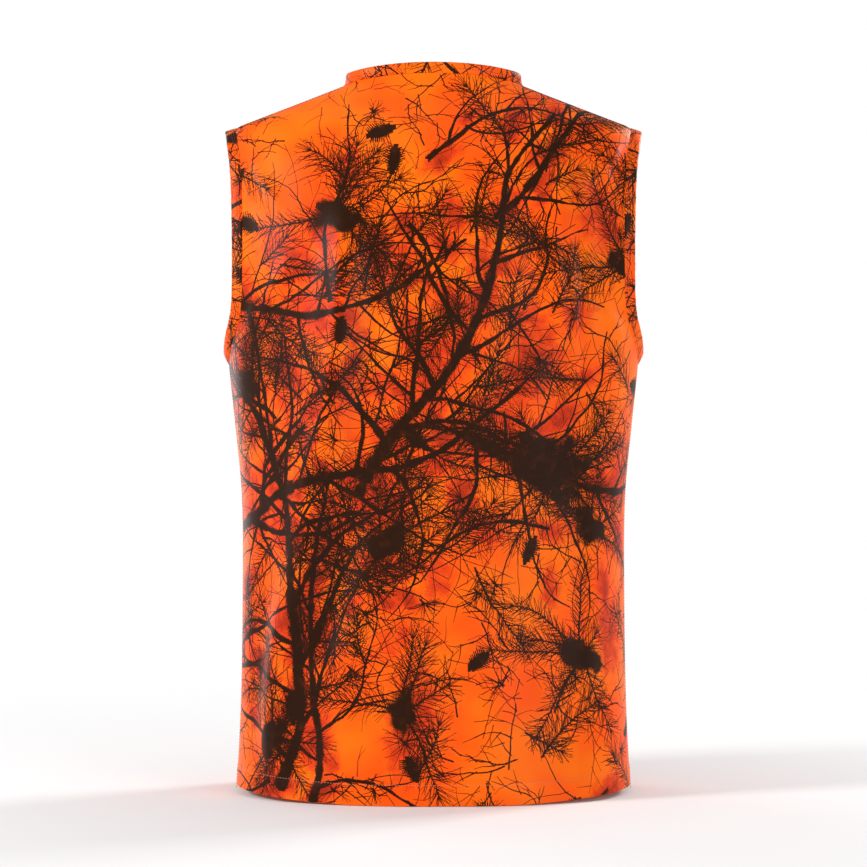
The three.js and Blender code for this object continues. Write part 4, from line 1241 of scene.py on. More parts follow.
def neck_path() -> tuple[EdgePath, int, int]:
    """Returns the path round the neck from the left of the zip, and its points at the shoulders."""
    x_front = 7.0 + (FORM.neck_half - 7.0) * np.linspace(0.0, 1.0, NECK_STEPS) ** 0.9
    x_back = FORM.neck_half * np.cos(np.linspace(0, np.pi, 2 * NECK_STEPS))
    paths, normals = [], []
    for side, x in ((FRONT, x_front), (BACK, x_back), (FRONT, -x_front[::-1])):
        z = FORM.top_height(side, x)
        paths.append(FORM.point(side, x, z, -0.6))
        normals.append(FORM.normal_of(side, x, z))
    points = np.concatenate((paths[0], paths[1][1:-1], paths[2]))
    normal = np.concatenate((normals[0], normals[1][1:-1], normals[2]))
    points, normal = resample(points, normal, 420, False)
    points, normal = soften(points, 4, False), unit(soften(normal, 16, False))
    left = int(np.argmin(np.abs(points[:210, 0] - FORM.neck_half * MM)))
    return EdgePath.make(points, normal, False, 0.25), left, 419 - left


@dataclass
class Binding:
    """A strip of the cloth folded over an edge, a little gathered by the elastic inside.

    Attributes:
        name: The piece's name.
        path: The edge.
        width: How far it stands off the edge, in millimetres.
        closed: Whether it is a ring.
        ripple: How deep its gathers are.
        woodland: Its print.
    """

    name: str
    path: EdgePath
    width: float
    closed: bool
    ripple: float
    woodland: WoodlandPlan
    lap: float = 1.6
    join_spread: float = 12.0

    def section(self) -> Array:
        """Returns the strip seen end on, from its outer lap round the fold and back inside."""
        half, slot, w = 1.55, 0.72, self.width
        outside = [(-self.lap, 1.0), (-self.lap + 0.5, half), (1.2, half), (3.0, half * 1.08)]
        outside += [(w * 0.5, half * 1.12), (w - 2.4, half), (w - 0.9, half * 0.72)]
        slit = [(a, slot) for a, _ in outside[:6]] + [(w - 1.9, slot * 0.7)]
        outer = [*outside, (w, 0.0), *((a, -b) for a, b in reversed(outside))]
        inner = [*slit, (w - 1.6, 0.0), *((a, -b) for a, b in reversed(slit))]
        return np.array([*outer, *reversed(inner)]) * MM

    def build(self, finishes: Finishes) -> bpy.types.Object:
        """Makes the strip and prints it."""
        section, path = self.section(), self.path
        n, m = len(path.points), len(section)
        run = distances(path.points) / MM
        gather = np.sin(run * 0.62) * 0.6 + np.sin(run * 0.37 + 1.0) * 0.5 + np.sin(run * 1.13) * 0.25
        if self.closed:
            gather = gather * np.sin(np.pi * np.arange(n) / n) ** 0.5
        reach = np.clip(section[:, 0] / (self.width * MM), 0, 1)
        lift = self.ripple * MM * gather[:, None] * (0.3 + 0.7 * reach)
        edge = 0.6 * self.ripple * MM * np.roll(gather, 3)[:, None] * reach**2
        points = (
            path.points[:, None]
            + path.along[:, None] * (section[:, 0] + edge)[..., None]
            + path.out[:, None] * (section[:, 1] + lift)[..., None]
        )
        number = np.arange(n * m).reshape(n, m)
        here = number if self.closed else number[:-1]
        after = np.roll(number, -1, axis=0) if self.closed else number[1:]
        corners = (here, after, np.roll(after, -1, axis=1), np.roll(here, -1, axis=1))
        faces = np.stack(corners, axis=-1).reshape(-1, 4)
        if not self.closed:
            faces = np.concatenate((faces, self.ends(number)))
        obj = mesh_object(self.name, points, facing_out(points, faces), 70.0)
        self.print_strip(obj, run, distances(section) / MM)
        finishes.dress(obj, "printed_cloth")
        band = points[:, : m // 2]
        if self.closed:
            band = np.concatenate((band, band[:1]))
        declare_sheet(band)
        return obj

    @staticmethod
    def ends(number: Array) -> Array:
        """Returns the quads that close the strip's two ends."""
        half = number.shape[1] // 2
        outer, inner = number[:, :half], number[:, :-half-1:-1]
        quads = np.stack((outer[:, :-1], outer[:, 1:], inner[:, 1:], inner[:, :-1]), axis=-1)
        return np.concatenate((quads[0][:, ::-1], quads[-1]))

    def print_strip(self, obj: bpy.types.Object, run: Array, widths: Array) -> None:
        """Prints the strip all over, from its run and its section's distances."""
        around, at = np.divmod(np.arange(len(obj.data.vertices)), len(widths))
        flat = np.stack((run[np.minimum(around, len(run) - 1)], widths[at]), axis=-1)
        index = np.arange(len(obj.data.loops)).reshape(-1, 4)
        places = flat[corner_vertices(obj.data)[index]]
        joins = np.ptp(places, axis=1).max(axis=1) >= self.join_spread
        print_on(obj, flat, index[~joins], self.woodland, True)


# ---- Stitching ----


THREAD_WIDTH = 0.5


class StitchTree:
    """Geometry Nodes that lay one sewn stitch at each point of a row."""

    def __init__(self) -> None:
        """Builds the tree."""
        tree = bpy.data.node_groups.new("stitch row", "GeometryNodeTree")
        face = tree.interface
        face.new_socket("Geometry", in_out="INPUT", socket_type="NodeSocketGeometry")
        self.length = face.new_socket("Length", in_out="INPUT", socket_type="NodeSocketFloat")
        self.material = face.new_socket("Thread", in_out="INPUT", socket_type="NodeSocketMaterial")
        face.new_socket("Geometry", in_out="OUTPUT", socket_type="NodeSocketGeometry")
        sheet = NodeSheet(tree)
        entry, leave = sheet.add("NodeGroupInput"), sheet.add("NodeGroupOutput")
        ball = sheet.fill(sheet.add("GeometryNodeMeshUVSphere"), Segments=6, Rings=5, Radius=0.5)
        size = sheet.add("ShaderNodeCombineXYZ")
        sheet.fill(size, X=entry.outputs["Length"], Y=THREAD_WIDTH * MM, Z=THREAD_WIDTH * MM)
        turn = None
        for name, axis, pivot in (("heading", "X", "AUTO"), ("facing", "Z", "X")):
            source = sheet.add("GeometryNodeInputNamedAttribute", data_type="FLOAT_VECTOR")
            sheet.fill(source, Name=name)
            align = sheet.add("FunctionNodeAlignRotationToVector", axis=axis, pivot_axis=pivot)
            sheet.feed(align.inputs["Vector"], source.outputs[0])
            if turn is not None:
                sheet.feed(align.inputs["Rotation"], turn)
            turn = align.outputs[0]
        place = sheet.add("GeometryNodeInstanceOnPoints")
        sheet.fill(place, Points=entry.outputs["Geometry"], Instance=ball.outputs["Mesh"])
        sheet.fill(place, Rotation=turn, Scale=size.outputs[0])
        real = sheet.add("GeometryNodeRealizeInstances")
        sheet.feed(real.inputs[0], place.outputs[0])
        paint = sheet.add("GeometryNodeSetMaterial")
        sheet.fill(paint, Geometry=real.outputs[0], Material=entry.outputs["Thread"])
        sheet.feed(leave.inputs[0], paint.outputs[0])
        self.tree = tree

    def lay(
        self,
        name: str,
        points: Array,
        heading: Array,
        facing: Array,
        thread: bpy.types.Material,
        length: float,
    ) -> bpy.types.Object:
        """Sews a row.

        Args:
            name: The piece's name.
            points: The stitches' middles, in metres.
            heading: Which way each lies.
            facing: Which way the cloth faces there.
            thread: The thread's finish.
            length: How long a stitch is, in millimetres.
        """
        mesh = bpy.data.meshes.new(name)
        mesh.vertices.add(len(points))
        mesh.vertices.foreach_set("co", np.asarray(points, dtype=np.float32).ravel())
        for key, value in (("heading", heading), ("facing", facing)):
            attribute = mesh.attributes.new(key, "FLOAT_VECTOR", "POINT")
            attribute.data.foreach_set("vector", np.asarray(value, dtype=np.float32).ravel())
        seed = add_object(f"{name}_points", mesh)
        modifier = seed.modifiers.new("stitches", "NODES")
        modifier.node_group = self.tree
        modifier[self.length.identifier] = length * MM
        modifier[self.material.identifier] = thread
        bpy.context.view_layer.update()
        graph = bpy.context.evaluated_depsgraph_get()
        made = bpy.data.meshes.new_from_object(seed.evaluated_get(graph))
        obj = add_object(name, made)
        made.polygons.foreach_set("use_smooth", np.ones(len(made.polygons), dtype=bool))
        bpy.data.objects.remove(seed)
        return obj


def spaced(points: Array, facing: Array, gap: float, closed: bool = False) -> tuple[Array, Array, Array]:
    """Returns even places on a path with the headings and facings there, a gap in mm apart."""
    ring = np.concatenate((points, points[:1])) if closed else points
    count = max(3, int(distances(ring)[-1] / (gap * MM)))
    even, turned = resample(points, facing, count, closed)
    return even, tangents(even, closed), turned


@dataclass
class Sewing:
    """Sews the rows of stitches, each in brown or pale thread."""

    finishes: Finishes
    tree: StitchTree = field(default_factory=StitchTree)

    def row(
        self,
        name: str,
        points: Array,
        facing: Array,
        pale: bool = False,
        gap: float = 3.1,
        length: float = 2.3,
        closed: bool = False,
        zigzag: float = 0.0,
        across: Array | None = None,
    ) -> bpy.types.Object:
        """Sews a row along a path.

        Args:
            name: The piece's name.
            points: The path, in metres.
            facing: Which way the cloth faces along it.
            pale: Whether the thread is pale.
            gap: The distance from stitch to stitch, in millimetres.
            length: How long each stitch is.
            closed: Whether the path is a ring.
            zigzag: How far the row swings to either side.
            across: Which way it swings, along the path.
        """
        places, heading, turned = spaced(points, facing, gap, closed)
        if across is not None:
            _, sideways = resample(points, across, len(places), closed)
            swing = np.where(np.arange(len(places)) % 2, 1.0, -1.0)[:, None]
            heading = unit(heading * gap * MM + swing * sideways * zigzag * MM * 2)
        thread = self.finishes.pale_thread if pale else self.finishes.thread
        obj = self.tree.lay(name, places, heading, turned, thread, length)
        return obj


STITCH_LIFT = 0.12


def on_cloth(side: Side, x: Array, z: Array, offset: float = STITCH_LIFT) -> tuple[Array, Array]:
    """Returns points over a cloth and the body's normals there."""
    return FORM.point(side, x, z, offset), FORM.normal_of(side, x, z)


# ---- Sub-assemblies ----


BACK_LIMBS = (
    (150, 20, 119, 640, 6.6), (70, 300, 108, 420, 6.0), (235, 262, 164, 360, 5.6),
    (-28, 352, 206, 320, 5.4), (-225, 60, 152, 360, 5.0), (120, -15, 92, 330, 4.4),
    (250, 500, 214, 300, 4.6), (-60, 560, 142, 260, 3.8),
)
BACK_MASSES = (
    (-112, 322, 58), (-160, 262, 34), (44, 250, 30), (96, 560, 34), (-196, 520, 30), (160, 60, 32),
    (-150, 140, 30), (196, 400, 28), (30, 90, 26),
)
BACK_BLOTS = (
    (60, 300, 60, 30, 75, -0.6), (-90, 420, 60, 34, 110, -0.62), (140, 520, 60, 26, 40, -0.55),
    (20, 80, 70, 30, 100, -0.6), (-190, 160, 60, 30, 80, -0.55), (-170, 560, 60, 30, 60, -0.5),
)
FRONT_LIMBS = {
    Hand.LEFT: (
        (60, -10, 84, 560, 6.2), (215, 60, 118, 430, 5.0), (20, 330, 48, 330, 4.6),
        (190, 420, 118, 260, 4.2),
    ),
    Hand.RIGHT: (
        (170, -10, 112, 600, 6.4), (10, 150, 30, 340, 5.2), (230, 300, 158, 330, 4.8),
        (60, 420, 70, 240, 4.0),
    ),
}
FRONT_MASSES = {
    Hand.LEFT: ((78, 318, 40), (170, 150, 30), (130, 520, 30), (40, 110, 24)),
    Hand.RIGHT: ((120, 250, 34), (60, 450, 36), (190, 400, 28), (150, 90, 28)),
}


@dataclass
class Shell:
    """The back, the two fronts and their bound edges."""

    finishes: Finishes
    sewing: Sewing
    zip_stitch: float = 12.5
    side_stitch: float = 5.5
    shoulder_stitch: float = 4.0

    def build(self) -> None:
        """Makes the cloths, the bindings and their stitching."""
        self.back()
        for hand in Hand:
            self.front(hand)
            self.armhole(hand)
            self.side_stitching(hand)
        self.neck()

    def back(self) -> None:
        """Makes the back with its hem stitch."""
        plan = WoodlandPlan(
            seed=41,
            low=(-300, -20),
            high=(300, 730),
            crowding=0.92,
            limbs=BACK_LIMBS,
            masses=BACK_MASSES,
            blots=list(BACK_BLOTS),
        )
        cloth = Panel("back_cloth", BACK, None, 221, 219, plan)
        obj = cloth.build(self.finishes)
        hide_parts("back_panel")
        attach(obj, "back")
        s = np.linspace(-0.995, 0.995, 500)
        q = np.sin(s * np.pi / 2)
        z = FORM.hem_height(q) + HEM_STITCH
        points, facing = on_cloth(BACK, q * FORM.edge_half_width(BACK, z), z)
        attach(self.sewing.row("hem_stitch_back", points, facing, pale=True), "back")

    def front(self, hand: Hand) -> None:
        """Makes one front with its hem and edge stitches."""
        word = hand.word
        plan = WoodlandPlan(
            seed=60 + hand.value,
            low=(-10, -20),
            high=(300, 730),
            crowding=1.05,
            limbs=FRONT_LIMBS[hand],
            masses=FRONT_MASSES[hand],
            blots=[(100, 90, 60, 30, 80, -0.6), (60, 430, 60, 28, 100, -0.6), (190, 330, 60, 28, 90, -0.55)],
        )
        cloth = Panel(f"front_cloth_{word}", FRONT, hand, 111, 219, plan)
        obj = cloth.build(self.finishes)
        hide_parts(f"front_panel_{word}", f"front_side_{word}")
        follow(obj)
        q = np.sin(np.linspace(0.0, 0.995, 300) * np.pi / 2)
        z = FORM.hem_height(q) + HEM_STITCH
        x = mix(7.0, FORM.edge_half_width(FRONT, z), q) * hand.value
        points, facing = on_cloth(FRONT, x, z)
        follow(self.sewing.row(f"hem_stitch_front_{word}", points, facing, pale=True))
        z = np.linspace(3.0, FORM.front_neck - 1.0, 300)
        points, facing = on_cloth(FRONT, np.full_like(z, self.zip_stitch * hand.value), z)
        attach(self.sewing.row(f"zip_stitch_{word}", points, facing), f"front_{word}")

    def side_stitching(self, hand: Hand) -> None:
        """Topstitches a side seam and a shoulder seam on the back."""
        z = np.linspace(3.0, FORM.underarm - 3.0, 260)
        points, facing = on_cloth(BACK, FORM.across_at(self.side_stitch, z) * hand.value, z)
        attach(self.sewing.row(f"side_stitch_{hand.word}", points, facing), "back")
        x = np.linspace(FORM.neck_half + 3, FORM.shoulder - 3, 120) * hand.value
        z = FORM.top_height(BACK, x) - self.shoulder_stitch
        points, facing = on_cloth(BACK, x, z)
        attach(self.sewing.row(f"shoulder_stitch_{hand.word}", points, facing), "back")

    def armhole(self, hand: Hand) -> None:
        """Binds an armhole."""
        word = hand.word
        path = armhole_path(hand)
        plan = WoodlandPlan(seed=90 + hand.value, low=(-10, -10), high=(640, 40), crowding=4.0)
        band = Binding(f"armhole_band_{word}", path, 11.0, True, 0.34, plan)
        obj = band.build(self.finishes)
        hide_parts(f"armhole_binding_{word}")
        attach(obj, "back")
        for number, along in enumerate((1.3, 3.7)):
            row = self.sewing.row(
                f"armhole_stitch_{word}_{number}",
                path.offset(along, 1.66),
                path.out,
                gap=2.6,
                length=2.5,
                closed=True,
                zigzag=0.55,
                across=path.along,
            )
            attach(row, "back")

    def neck(self) -> None:
        """Binds the neck, in a back part and a part along each front."""
        path, left, right = neck_path()
        last = len(path.points) - 1
        parts = (
            ("neck_band_back", path.part(left, right), None, "neck_binding", 31),
            ("neck_band_front_left", path.part(0, left), Hand.LEFT, "neck_binding_front_left", 32),
            ("neck_band_front_right", path.part(right, last), Hand.RIGHT, "neck_binding_front_right", 33),
        )
        for name, part, hand, node, seed in parts:
            plan = WoodlandPlan(seed=seed, low=(-10, -10), high=(360, 40), crowding=4.0)
            band = Binding(name, part, 9.5, False, 0.12, plan)
            obj = band.build(self.finishes)
            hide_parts(node)
            row = self.sewing.row(f"{name}_stitch", part.offset(3.2, 1.72), part.out, gap=2.9)
            for piece in (obj, row):
                if hand is None:
                    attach(piece, "back")
                else:
                    follow(piece)


@dataclass
class Inside:
    """The turned hem, seam allowances, tapes and labels inside the shell."""

    finishes: Finishes
    sewing: Sewing
    offset: float = -1.6

    def strip(
        self,
        name: str,
        side: Side,
        places: tuple[Array, Array],
        thickness: float,
        slot: str,
        deeper: float = 0.0,
    ) -> bpy.types.Object:
        """Makes a strip that lies along the inside of a cloth.

        Args:
            name: The piece's name.
            side: The cloth that it lies on.
            places: Its places across and up, columns by rows.
            thickness: How thick it is.
            slot: The slot of its finish.
            deeper: How much further in it lies than the cloth's inner face.
        """
        depth = self.offset - deeper
        outer = FORM.point(side, *places, depth)
        obj = shell_object(name, outer, FORM.point(side, *places, depth - thickness))
        self.finishes.dress(obj, slot)
        declare_sheet(outer)
        return obj

    def grid(self, side: Side, s: tuple[float, float], t: tuple[float, float], n: int, m: int) -> tuple:
        """Returns places on a cloth between shares of its width and of its height."""
        shares = np.meshgrid(np.linspace(*s, n), np.linspace(*t, m), indexing="ij")
        return FORM.place(side, *shares)

    def build(self) -> None:
        """Makes every inner piece."""
        hem = (0.0009, 20.5 / FORM.shoulder_end)
        places = self.grid(BACK, (-0.985, 0.985), hem, 160, 8)
        obj = self.strip("hem_turn_back", BACK, places, 1.2, "plain_cloth")
        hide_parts("hem_fold_back")
        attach(obj, "back")
        for hand in Hand:
            word = hand.word
            x, z = self.grid(FRONT, (0.06, 0.985), hem, 90, 8)
            places = (x * hand.value, z)
            obj = self.strip(f"hem_turn_front_{word}", FRONT, places, 1.2, "plain_cloth")
            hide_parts(f"hem_fold_front_{word}", f"hem_fold_side_{word}")
            follow(obj)
            self.allowance(hand)
            self.shoulder_tape(hand)
            self.elastic(hand)
        self.neck_tape()
        self.labels()

    def allowance(self, hand: Hand) -> None:
        """Lays a side seam's allowance against the back."""
        z = np.linspace(23.0, FORM.underarm - 5.0, 120)
        away, z = np.meshgrid(np.linspace(2.0, 13.0, 6), z, indexing="ij")
        places = (FORM.across_at(away, z) * hand.value, z)
        obj = self.strip(f"seam_allowance_{hand.word}", BACK, places, 0.8, "plain_cloth")
        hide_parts(f"side_seam_allowance_{hand.word}")
        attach(obj, "back")

    def shoulder_tape(self, hand: Hand) -> None:
        """Lays a stay tape inside a shoulder seam."""
        x = np.linspace(FORM.neck_half + 5.0, FORM.shoulder - 12.0, 40)
        x, down = np.meshgrid(x, np.linspace(9.0, 2.0, 5), indexing="ij")
        places = (x * hand.value, FORM.top_height(BACK, x) - down)
        obj = self.strip(f"stay_tape_{hand.word}", BACK, places, 0.8, "stay_tape")
        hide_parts(f"shoulder_tape_{hand.word}")
        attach(obj, "back")

    def elastic(self, hand: Hand) -> None:
        """Lays the elastic inside an armhole's binding, its two ends a little apart."""
        path = armhole_path(hand)
        along = np.linspace(3.0, 8.0, 5)[None, :, None] * MM
        line = path.points[4:-4, None] + path.along[4:-4, None] * along
        rise = path.out[4:-4, None] * 0.2 * MM
        outer = line + rise
        obj = shell_object(f"elastic_{hand.word}", outer, line - rise)
        self.finishes.dress(obj, "stay_tape")
        seat(obj, outer, f"armhole_elastic_{hand.word}", "back")

    def neck_tape(self) -> None:
        """Lays the tape inside the back of the neck."""
        top = FORM.neck_point - 5.0
        places = np.meshgrid(np.linspace(-64, 64, 60), np.linspace(top - 10, top, 6), indexing="ij")
        obj = self.strip("neck_stay", BACK, places, 0.8, "plain_cloth")
        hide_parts("neck_tape")
        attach(obj, "back")

    def labels(self) -> None:
        """Sews in the two blank labels."""
        top = FORM.neck_point - 8.0
        places = np.meshgrid(np.linspace(-16, 16, 14), np.linspace(top - 22, top, 10), indexing="ij")
        obj = self.strip("size_tag", BACK, places, 0.5, "label_cloth", 1.1)
        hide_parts("size_label")
        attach(obj, "back")
        low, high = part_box("care_label")
        z = np.linspace(low[2] + 0.0005, high[2] - 0.0005, 12) / MM
        y = (np.linspace(low[1] + 0.0008, high[1], 14) / MM - Y_SHIFT)[:, None]
        obj = self.strip("care_tag", BACK, (FORM.across_at(y, z), z), 0.5, "label_cloth", 1.1)
        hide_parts("care_label")
        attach(obj, "care_label")


@dataclass
class Zip:
    """The zip's tapes, teeth and guard, in the zip's own leaning frame."""

    finishes: Finishes
    sewing: Sewing
    teeth_pitch: float = 2.6

    def at(self, x: Array, depth: Array, height: Array) -> Array:
        """Returns points from places in the zip's frame, in millimetres.

        Args:
            x: Towards the wearer's left.
            depth: Into the vest from the fronts' outer face.
            height: Up along the zip.
        """
        lean = math.atan(FORM.zip_lean)
        origin = Y_SHIFT - FORM.front_depth - CAD_SEAM_GAP / 2
        y = origin + depth * math.cos(lean) + height * math.sin(lean)
        z = height * math.cos(lean) - depth * math.sin(lean)
        return np.stack(np.broadcast_arrays(x, y, z), axis=-1) * MM

    def build(self) -> None:
        """Makes both sides and dresses the hard parts."""
        top = FORM.front_neck / math.cos(math.atan(FORM.zip_lean)) - 5.0
        for hand in Hand:
            self.tape(hand, top)
            self.teeth(hand, top)
        self.guard(top)
        resin = ("zip_top_stop_left", "zip_top_stop_right", "zip_pin", "zip_retainer_box")
        for slot, nodes in (("moulded_plastic", resin), ("black_metal", ("zip_slider", "zip_puller"))):
            for node in nodes:
                self.finishes.paint(bpy.data.objects[node], slot)

    def tape(self, hand: Hand, top: float) -> None:
        """Makes one side's woven tape."""
        x, height = np.meshgrid(np.linspace(3.9, 16.0, 8), np.linspace(5.0, top, 120), indexing="ij")
        front, rear = (self.at(x * hand.value, depth, height) for depth in (1.6, 2.4))
        obj = shell_object(f"zip_band_{hand.word}", front, rear)
        self.finishes.dress(obj, "zip_tape")
        seat(obj, front, f"zip_tape_{hand.word}", f"front_{hand.word}")

    def teeth(self, hand: Hand, top: float) -> None:
        """Sets one side's teeth, half a step from the other side's."""
        shift = 0.0 if hand is Hand.LEFT else self.teeth_pitch / 2
        height = np.arange(18.6 + shift, top - 3.6, self.teeth_pitch)
        outline = np.array(((-0.9, 0.5), (0.1, 0.62), (0.7, 0.38), (1.5, 0.44), (3.6, 0.62)))
        corners = np.concatenate((outline, outline[::-1] * (1, -1)))
        x, rise = corners.T
        rims = [self.at(x * hand.value, depth, height[:, None] + rise) for depth in (0.75, 3.25)]
        points = np.concatenate(rims, axis=1)
        n, m = len(height), len(corners)
        base = np.arange(n)[:, None, None] * 2 * m
        k = np.arange(m)
        walls = np.stack((k, (k + 1) % m, (k + 1) % m + m, k + m), axis=-1)
        half = m // 2
        lids = [[j, j + 1, m - 2 - j, m - 1 - j] for j in range(half - 1)]
        lids = np.array(lids + [[m + q for q in reversed(lid)] for lid in lids])
        faces = facing_out(points[0], np.concatenate((walls, lids[:, ::-1])))
        obj = mesh_object(f"zip_chain_{hand.word}", points, (base + faces[None]).reshape(-1, 4), 30.0)
        self.finishes.dress(obj, "moulded_plastic")
        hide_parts(f"zip_teeth_{hand.word}")
        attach(obj, f"front_{hand.word}")

    def guard(self, top: float) -> None:
        """Makes the guard behind the zip: a strip whose left edge turns towards the tape."""
        line = ((-14.0, 5.6), (-6.0, 5.7), (2.0, 5.75), (8.0, 5.7), (12.0, 5.5), (14.0, 4.6), (14.6, 3.2))
        across, depth = np.array(line).T[..., None]
        height = np.linspace(17.0, top - 2.0, 100)
        skins = []
        for thick in (0.0, 0.8):
            x = across - 0.8 * thick * (across > 13)
            skins.append(self.at(x, depth + thick * (across < 13), height))
        obj = shell_object("zip_fly", *skins)
        self.finishes.dress(obj, "plain_cloth")
        seat(obj, skins[0], "zip_guard", "front_left")


@dataclass
class Pockets:
    """The two patch pockets, with their flaps and snap fasteners."""

    finishes: Finishes
    sewing: Sewing
    inner: float = 24.0
    width: float = 104.0
    bottom: float = 42.0
    height: float = 136.0
    flap_top: float = 192.0
    flap_height: float = 54.0
    corner: float = 14.0

    def build(self) -> None:
        """Makes both pockets."""
        for hand in Hand:
            self.patch(hand)
            self.flap(hand)
            self.snaps(hand)

    def patch(self, hand: Hand) -> None:
        """Makes one pocket's patch, its lower corners rounded."""
        u, v = np.meshgrid(np.linspace(0, 1, 71), np.linspace(0, 1, 91), indexing="ij")
        radius = self.corner / self.width
        low = np.clip(1 - v * self.height / self.corner, 0, 1)
        tuck = radius * (1 - np.sqrt(np.clip(1 - low**2, 0, 1)))
        across = mix(tuck, 1 - tuck, u)
        x = (self.inner + across * self.width) * hand.value
        z = self.bottom + v * self.height
        inset = np.minimum(np.minimum(u, 1 - u) * self.width, v * self.height)
        puff = 1.1 * smooth(inset, 3.0, 20.0) + 0.35 * np.sin(u * 9 + hand.value) * np.sin(v * 6)
        puff = puff * smooth(inset, 0.0, 12.0)
        mouth = 0.5 * smooth(v * self.height, 116.0, 120.0)
        outer = FORM.point(FRONT, x, z, 1.7 + puff + mouth)
        obj = shell_object(f"pocket_patch_{hand.word}", outer, FORM.point(FRONT, x, z, 0.7 + puff))
        plan = plan_of(outer)
        woodland = WoodlandPlan(
            seed=120 + hand.value,
            low=(-20, 20),
            high=(130, 200),
            crowding=1.4,
            limbs=((40, 20, 80, 220, 5.0), (110, 60, 120, 180, 4.0)),
            blots=[(60, 110, 30, 16, 60, 0.95), (40, 60, 50, 26, 70, -0.6)],
        )
        print_outside(obj, plan, woodland)
        self.finishes.dress(obj, "printed_cloth")
        seat(obj, outer, f"pocket_{hand.word}", f"front_{hand.word}")
        self.edge_stitch(hand)

    def edge_stitch(self, hand: Hand) -> None:
        """Sews a pocket down along its sides and bottom, and its mouth's hem."""
        inner, outer = self.inner + 3.0, self.inner + self.width - 3.0
        low, high, r = self.bottom + 3.0, self.bottom + self.height - 1.0, 11.0
        turn = np.linspace(0, np.pi / 2, 12)
        left = np.concatenate((np.full(60, inner), inner + r - r * np.cos(turn)))
        down = np.concatenate((np.linspace(high, low + r, 60), low + r - r * np.sin(turn)))
        x = np.concatenate((left, np.linspace(inner + r, outer - r, 50), inner + outer - left[::-1]))
        z = np.concatenate((down, np.full(50, low), down[::-1]))
        points, facing = on_cloth(FRONT, x * hand.value, z, 1.95)
        row = self.sewing.row(f"pocket_stitch_{hand.word}", points, facing)
        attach(row, f"front_{hand.word}")

    @staticmethod
    def flap_lift(hand: Hand, across: Array, down: Array) -> Array:
        """Returns how far a flap's inner face is off the front, at shares across and heights down."""
        wave = 0.35 * np.sin(across * 8.0 + hand.value) * smooth(down, 15.0, 40.0)
        return 0.7 + 4.7 * smooth(down, 0.0, 13.0) + wave

    def flap_drop(self, across: Array) -> Array:
        """Returns how far down a flap's edge is, at shares across."""
        return self.flap_height + 5.0 * np.maximum(0.0, 1 - np.abs(2 * across - 1) * 1.15)

    def flap(self, hand: Hand) -> None:
        """Makes one flap, its lower edge drawn to a blunt point."""
        u, v = np.meshgrid(np.linspace(0, 1, 71), np.linspace(0, 1, 41), indexing="ij")
        down = v * self.flap_drop(u)
        tuck = 5.0 * np.clip((down - (self.flap_height - 5)) / 6.0, 0, 1) ** 2
        across = mix(-2.0 + tuck, self.width + 2.0 - tuck, u)
        x = (self.inner + across) * hand.value
        z = self.flap_top - down
        lifted = self.flap_lift(hand, u, down)
        thick = 1.1 + 0.25 * smooth(np.minimum(u, 1 - u) * self.width, 1.0, 6.0)
        outer = FORM.point(FRONT, x, z, lifted + thick)
        obj = shell_object(f"flap_{hand.word}", outer, FORM.point(FRONT, x, z, lifted))
        woodland = WoodlandPlan(
            seed=140 + hand.value,
            low=(-20, 120),
            high=(130, 210),
            crowding=1.5,
            limbs=((0, 150, 10, 160, 4.0),),
            blots=[(60, 165, 26, 12, 10, 0.9), (90, 150, 40, 20, 0, -0.6)],
        )
        print_outside(obj, plan_of(outer[:, ::-1])[:, ::-1], woodland)
        self.finishes.dress(obj, "printed_cloth")
        declare_sheet(outer)
        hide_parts(f"pocket_flap_{hand.word}")
        body = f"flap_{hand.word}"
        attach(obj, body)
        edge = np.concatenate((np.full(20, 0.035), np.linspace(0.035, 0.965, 80), np.full(20, 0.965)))
        low = self.flap_drop(edge) - 4.0
        low[:20] = np.linspace(3.0, low[20], 20)
        low[-20:] = np.linspace(low[-21], 3.0, 20)
        x = (self.inner - 2.0 + edge * (self.width + 4.0)) * hand.value
        z = self.flap_top - low
        points = FORM.point(FRONT, x, z, self.flap_lift(hand, edge, low) + 1.5)
        row = self.sewing.row(f"flap_stitch_{hand.word}", points, FORM.normal_of(FRONT, x, z))
        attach(row, body)

    def snaps(self, hand: Hand) -> None:
        """Turns the cap, socket and stud of one snap fastener."""
        x = np.array((self.inner + self.width / 2) * hand.value)
        z = np.array(self.flap_top - self.flap_height + 13.0)
        base, axis = FORM.point(FRONT, x, z), FORM.normal_of(FRONT, x, z)
        cap = ((0, 6.5), (5.4, 6.5), (6.2, 6.8), (6.2, 7.2), (5.6, 7.8), (4.6, 8.05), (3.9, 7.9), (0, 7.95))
        socket = ((2.0, 4.4), (3.4, 4.05), (4.5, 4.15), (4.6, 4.6), (4.4, 5.1), (2.0, 5.1), (2.0, 4.4))
        stud = ((0, 3.2), (4.4, 3.2), (4.6, 3.5), (4.2, 3.75), (1.7, 4), (1.75, 4.6), (1.4, 5.05), (0, 5.1))
        parts = (("snap_cap", cap, "flap"), ("snap_socket", socket, "flap"), ("snap_stud", stud, "front"))
        for name, profile, body in parts:
            obj = turned(f"{name}_turned_{hand.word}", np.array(profile) * MM, base, axis)
            self.finishes.dress(obj, "black_metal")
            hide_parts(f"{name}_{hand.word}")
            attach(obj, f"{body}_{hand.word}")


